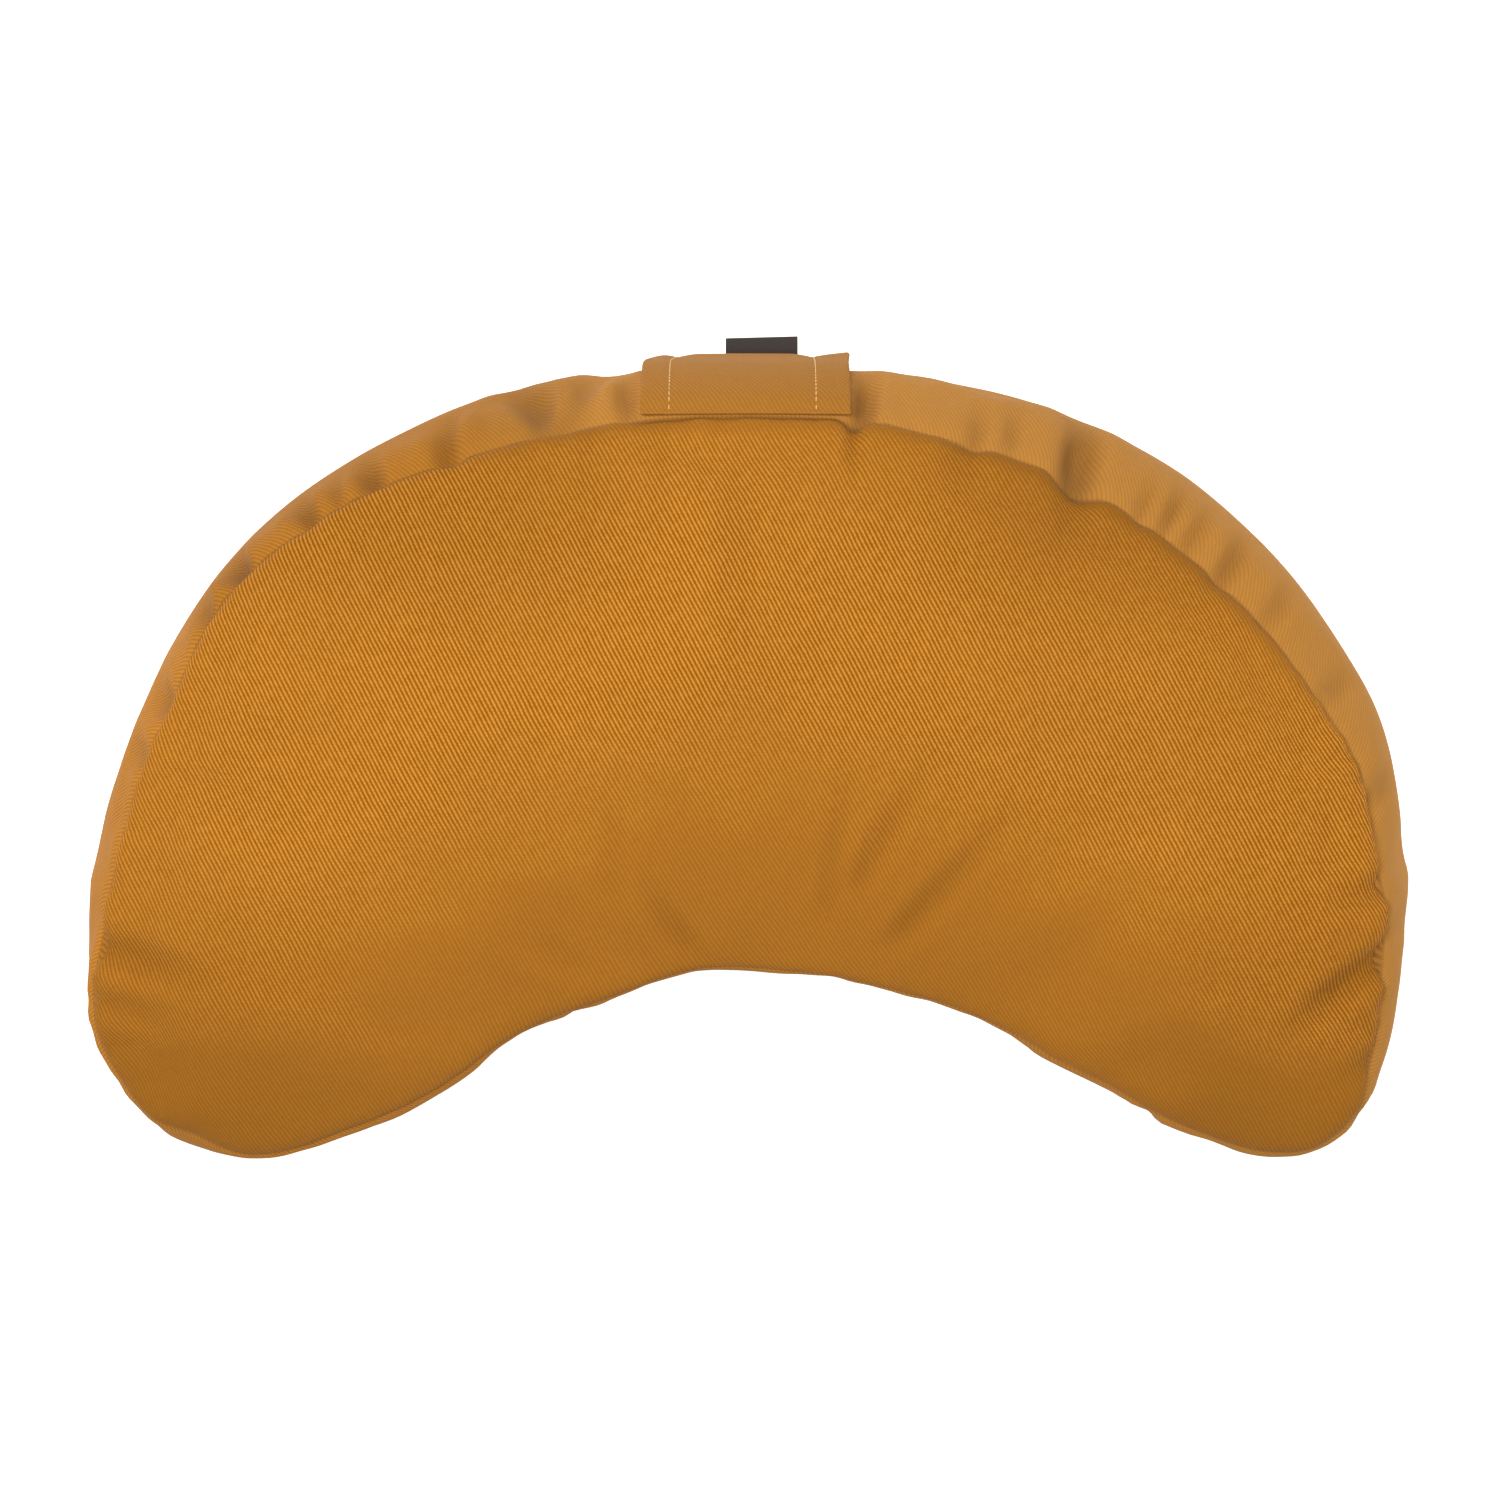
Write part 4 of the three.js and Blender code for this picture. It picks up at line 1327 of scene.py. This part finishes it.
class Nodes:
    """Short calls for a material's node tree."""

    def __init__(self, name):
        self.material = bpy.data.materials.new(name)
        self.material.use_nodes = True
        self.tree = self.material.node_tree
        self.tree.nodes.clear()

    def add(self, kind, settings=None, **inputs):
        made = self.tree.nodes.new(kind)
        for key, value in (settings or {}).items():
            setattr(made, key, value)
        for key, value in inputs.items():
            self.give(made.inputs[key.replace("_", " ")], value)
        return made

    def numbered(self, kind, settings, **inputs):
        """A node whose inputs are given by number, as at_0 and so on."""
        made = self.add(kind, settings)
        for key, value in inputs.items():
            self.give(made.inputs[int(key.split("_")[1])], value)
        return made

    def give(self, socket, value):
        if isinstance(value, bpy.types.NodeSocket):
            self.tree.links.new(value, socket)
        else:
            socket.default_value = value

    def layer(self, name):
        """The two numbers of a UV layer."""
        uv = self.add("ShaderNodeUVMap", {"uv_map": name}).outputs[0]
        split = self.add("ShaderNodeSeparateXYZ", Vector=uv)
        return split.outputs[0], split.outputs[1]

    def place(self):
        return self.add("ShaderNodeTexCoord").outputs["Object"]

    def maths(self, operation, *values):
        made = self.add("ShaderNodeMath", {"operation": operation})
        for socket, value in zip(made.inputs, values):
            self.give(socket, value)
        return made.outputs[0]

    def linear(self, value, factor, offset=0.0):
        return self.maths("MULTIPLY_ADD", value, factor, offset)

    def wave(self, turns):
        """A wave from 0 to 1 that is 1 at each whole turn."""
        return self.linear(self.maths("COSINE", self.linear(turns, TURN)), 0.5, 0.5)

    def noise(self, where, scale):
        made = self.add("ShaderNodeTexNoise", Vector=where, Scale=scale, Detail=NOISE_DETAIL)
        return made.outputs[0]

    def mix(self, part, low, high):
        settings = {"data_type": "RGBA"}
        return self.numbered("ShaderNodeMix", settings, at_0=part, at_6=low, at_7=high).outputs[2]

    def ramp(self, value, low, high):
        settings = {"interpolation_type": "SMOOTHSTEP"}
        return self.numbered("ShaderNodeMapRange", settings, at_0=value, at_1=low, at_2=high).outputs[0]

    def surface(self, shader):
        """Joins a shader to the output and gives the finished material."""
        self.add("ShaderNodeOutputMaterial", Surface=shader.outputs[0])
        return self.material

    def finish(self, colour, height, depth, roughness, sheen):
        bump = self.add("ShaderNodeBump", Strength=1.0, Distance=depth, Height=height)
        shader = self.add(
            "ShaderNodeBsdfPrincipled", Base_Color=colour, Roughness=roughness, Normal=bump.outputs[0]
        )
        shader.inputs["Sheen Weight"].default_value = sheen
        shader.inputs["Sheen Roughness"].default_value = SHEEN_ROUGHNESS
        shader.inputs["Sheen Tint"].default_value = SHEEN_TINT
        shader.inputs["Specular IOR Level"].default_value = CLOTH_SPECULAR
        return self.surface(shader)


# The twill: its wales' pitch and direction in pattern coordinates, and its colours
WALE_PITCH = 1.37 * MM
BEAD_PITCH = 1.25 * MM
WALE_ANGLE = 28.0
WALE_WANDER = 0.35
TWILL_LIGHT = linear_colour(215, 145, 52)
TWILL_DARK = linear_colour(150, 86, 10)
# The colour of the painted sheen, paler and less saturated, and its share
PAINTED_SHEEN_COLOUR = linear_colour(184, 148, 90)
PAINTED_SHEEN_SHARE = 0.24
TWILL_DEPTH = 0.3 * MM
TWILL_SHEEN = 0.04
CALM_FADE = 0.72
# How far the painted shade darkens the cloth at full shade
PAINTED_SHADE_STRENGTH = 0.2
# Painted shade in the seam creases: how bright the cloth is at a seam, and the span over which it
# brightens
SEAM_SHADE = 0.78
SEAM_SHADE_SPAN = (0.2 * MM, 0.9 * MM)
# Scales of its noises in each metre: the wander of the wales, the fibres and the soft clouds
WANDER_SCALE = 60.0
FIBRE_SCALE = 2600.0
CLOUD_SCALE = 14.0
CLOUD_SPAN = (0.35, 0.65)
CLOUD_SHARE = 0.04
# How far the beads shift from wale to wale, how deep they cut the wale, and how the yarn's noise is
# told apart from wale to wale and drawn out along it
BEAD_SHIFT = 0.38
BEAD_SHARE = 0.35
YARN_STEP = 3.7
YARN_STRETCH = 0.5
# How much the thick and thin yarns and the fibres change the tone, and the height of full tone
SLUB_TONE = 0.7
FIBRE_TONE = 0.5
TONE_TOP = 0.85
FIBRE_ROUGHNESS = (0.1, 0.85)


def twill_material():
    nodes = Nodes("ochre_twill")
    u, v = nodes.layer("pattern")
    calmness, painted_shade = nodes.layer("calm_and_painted_shade")
    from_top, from_bottom = nodes.layer("seams")
    painted_sheen_amount, _ = nodes.layer("painted_sheen")
    place = nodes.place()

    # The wales: a number that counts them across, and their waves
    across_u = math.cos(math.radians(WALE_ANGLE))
    across_v = math.sin(math.radians(WALE_ANGLE))
    wander = nodes.linear(nodes.noise(place, WANDER_SCALE), 2 * WALE_WANDER, -WALE_WANDER)
    across = nodes.maths("ADD", nodes.linear(u, across_u / WALE_PITCH), wander)
    across = nodes.linear(v, across_v / WALE_PITCH, across)
    along = nodes.linear(v, -across_u / BEAD_PITCH, nodes.linear(u, across_v / BEAD_PITCH))
    wale = nodes.maths("FLOOR", nodes.maths("ADD", across, 0.5))

    # The floats that bead each wale, and yarns that run thicker and thinner
    yarn = nodes.add(
        "ShaderNodeCombineXYZ", X=nodes.linear(wale, YARN_STEP), Y=nodes.linear(along, YARN_STRETCH)
    )
    slub = nodes.noise(yarn.outputs[0], 1.0)
    bead = nodes.wave(nodes.maths("ADD", nodes.linear(wale, BEAD_SHIFT, along), slub))
    beaded = nodes.linear(bead, BEAD_SHARE, 1 - BEAD_SHARE)
    height = nodes.maths("MULTIPLY", nodes.wave(across), beaded)

    # Colour: pale on the wales, dark between them, less so where the cloth is calm
    fibre = nodes.noise(place, FIBRE_SCALE)
    calm = nodes.linear(calmness, -CALM_FADE, 1.0)
    tone = nodes.ramp(height, 0.0, TONE_TOP)
    for grain, share in ((slub, SLUB_TONE), (fibre, FIBRE_TONE)):
        tone = nodes.maths("ADD", tone, nodes.linear(grain, share, -share / 2))
    tone = nodes.maths("MINIMUM", nodes.maths("MAXIMUM", tone, 0.0), 1.0)
    tone = nodes.maths("ADD", nodes.maths("MULTIPLY", nodes.linear(tone, 1.0, -0.5), calm), 0.5)
    colour = nodes.mix(tone, TWILL_DARK, TWILL_LIGHT)
    # Painted sheen: a paler, less saturated colour mixed in on the band and the strap
    colour = nodes.mix(nodes.linear(painted_sheen_amount, PAINTED_SHEEN_SHARE), colour, PAINTED_SHEEN_COLOUR)

    # Brightness: soft random clouds, painted shade in the seam creases, and the painted shade made by
    # calm_and_shade
    cloud = nodes.ramp(nodes.noise(place, CLOUD_SCALE), *CLOUD_SPAN)
    clouded = nodes.linear(cloud, CLOUD_SHARE, 1 - CLOUD_SHARE / 2)
    # Painted shade in the creases along both seams
    open_cloth = nodes.ramp(nodes.maths("MINIMUM", from_top, from_bottom), *SEAM_SHADE_SPAN)
    seam_painted_shade = nodes.linear(open_cloth, 1 - SEAM_SHADE, SEAM_SHADE)
    value = nodes.maths("MULTIPLY", clouded, seam_painted_shade)
    # Painted shade from the layer made by calm_and_shade
    value = nodes.maths("MULTIPLY", value, nodes.linear(painted_shade, -PAINTED_SHADE_STRENGTH, 1.0))
    toned = nodes.add("ShaderNodeHueSaturation", Color=colour, Value=value)
    roughness = nodes.linear(fibre, *FIBRE_ROUGHNESS)
    relief = nodes.maths("MULTIPLY", height, calm)
    return nodes.finish(toned.outputs[0], relief, TWILL_DEPTH, roughness, TWILL_SHEEN)


THREAD_LIGHT = linear_colour(238, 200, 138)
THREAD_DARK = linear_colour(216, 170, 106)
THREAD_FIBRE_SCALE = 3500.0
THREAD_DEPTH = 0.05 * MM
THREAD_ROUGHNESS = 0.7
THREAD_SHEEN = 0.2


def thread_material():
    nodes = Nodes("topstitch_thread")
    fibre = nodes.noise(nodes.place(), THREAD_FIBRE_SCALE)
    colour = nodes.mix(fibre, THREAD_DARK, THREAD_LIGHT)
    return nodes.finish(colour, fibre, THREAD_DEPTH, THREAD_ROUGHNESS, THREAD_SHEEN)


LABEL_LIGHT = linear_colour(80, 74, 72)
LABEL_DARK = linear_colour(50, 46, 45)
LABEL_RIB = 0.55 * MM
LABEL_FIBRE_SCALE = 3000.0
LABEL_RIB_TONE = 0.7
LABEL_FIBRE_TONE = 0.3
LABEL_DEPTH = 0.08 * MM
LABEL_ROUGHNESS = 0.8
LABEL_SHEEN = 0.1


def label_material():
    """A plain close weave, with fine ribs both ways."""
    nodes = Nodes("dark_tab_weave")
    ribs, picks = [
        nodes.maths("SINE", nodes.linear(way, TURN / LABEL_RIB)) for way in nodes.layer("pattern")
    ]
    height = nodes.linear(nodes.maths("MULTIPLY", ribs, picks), 0.5, 0.5)
    fibre = nodes.noise(nodes.place(), LABEL_FIBRE_SCALE)
    tone = nodes.linear(height, LABEL_RIB_TONE, nodes.linear(fibre, LABEL_FIBRE_TONE))
    colour = nodes.mix(tone, LABEL_DARK, LABEL_LIGHT)
    return nodes.finish(colour, height, LABEL_DEPTH, LABEL_ROUGHNESS, LABEL_SHEEN)


# The floor glows, though it is no lamp: its glow lights the cushion from below and keeps the floor
# white
FLOOR_COLOUR = 0.35
FLOOR_ROUGHNESS = 0.9
FLOOR_GLOW = 1.34
FLOOR_TINT = (1.0, 1.0, 0.985, 1.0)
FLOOR_HALF = 6.0
FLOOR_DROP = 0.3 * MM
# The floor glows less round a spot in front of the cushion
DIM_SPOT = (0.0, -0.4, 0.0)
DIM_SPOT_RADII = (0.16, 0.5)
DIM_SPOT_GLOW = 0.77
WORLD_LIGHT = 0.13
def floor_material():
    nodes = Nodes("glowing_floor")
    settings = {"operation": "DISTANCE"}
    away = nodes.numbered("ShaderNodeVectorMath", settings, at_0=nodes.place(), at_1=DIM_SPOT)
    glow = nodes.ramp(away.outputs["Value"], *DIM_SPOT_RADII)
    strength = nodes.linear(glow, FLOOR_GLOW - DIM_SPOT_GLOW, DIM_SPOT_GLOW)
    shader = nodes.add("ShaderNodeBsdfPrincipled", Emission_Strength=strength)
    shader.inputs["Base Color"].default_value = (FLOOR_COLOUR, FLOOR_COLOUR, FLOOR_COLOUR, 1)
    shader.inputs["Roughness"].default_value = FLOOR_ROUGHNESS
    shader.inputs["Specular IOR Level"].default_value = 0.0
    shader.inputs["Emission Color"].default_value = FLOOR_TINT
    return nodes.surface(shader)


# Soft lights: name, place, width and power
LIGHTS = [
    ("soft_key", (-0.38, 0.34, 2.0), 0.9, 42.5),
    ("side_fill", (1.45, -0.1, 0.5), 0.9, 4.4),
]

# The camera's target in millimetres, its distance, and its tilt from straight down
CAMERA_TARGET = (1.46, -0.53, 60.0)
CAMERA_DISTANCE = 2134.0
CAMERA_TILT = 6.0
CAMERA_LENS = 150.0
CAMERA_SENSOR = 36.0
CAMERA_REACH = 50.0


def make_stage():
    mesh = bpy.data.meshes.new("floor")
    corners = [(-1, -1), (1, -1), (1, 1), (-1, 1)]
    corners = [(x * FLOOR_HALF, y * FLOOR_HALF, -FLOOR_DROP) for x, y in corners]
    mesh.from_pydata(corners, [], [(0, 1, 2, 3)])
    mesh.materials.append(floor_material())
    floor = in_scene("floor", mesh)
    floor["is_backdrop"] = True

    world = bpy.data.worlds.new("white_world")
    world.use_nodes = True
    background = world.node_tree.nodes["Background"]
    background.inputs["Color"].default_value = (1, 1, 1, 1)
    background.inputs["Strength"].default_value = WORLD_LIGHT
    bpy.context.scene.world = world

    for name, place, width, power in LIGHTS:
        light = bpy.data.lights.new(name, "AREA")
        light.shape = "DISK"
        light.size = width
        light.energy = power
        lamp = in_scene(name, light)
        lamp.location = place
        lamp.rotation_euler = (-Vector(place)).to_track_quat("-Z", "Y").to_euler()


def make_camera():
    tilt = math.radians(CAMERA_TILT)
    back = Vector((0, math.sin(tilt), math.cos(tilt)))
    up = Vector((0, math.cos(tilt), -math.sin(tilt)))
    right = Vector((1, 0, 0))
    data = bpy.data.cameras.new("camera")
    data.lens = CAMERA_LENS
    data.sensor_width = CAMERA_SENSOR
    data.clip_end = CAMERA_REACH
    camera = in_scene("camera", data)
    place = (Vector(CAMERA_TARGET) + back * CAMERA_DISTANCE) * MM
    turn = Matrix((right, up, back)).transposed().to_4x4()
    camera.matrix_world = Matrix.Translation(place) @ turn
    bpy.context.scene.camera = camera


make_camera()
make_stage()
TWILL = twill_material()
make_cushion(TWILL)
HANDLE_LINE = make_handle(TWILL)
make_topstitch(thread_material(), *HANDLE_LINE)
make_label(label_material())
bpy.context.scene.view_settings.view_transform = "Standard"

bpy.context.view_layer.update()
boxes = {"cad": CAD_BOX, "visual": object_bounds()}
plain = {name: [[float(v) for v in corner] for corner in box] for name, box in boxes.items()}
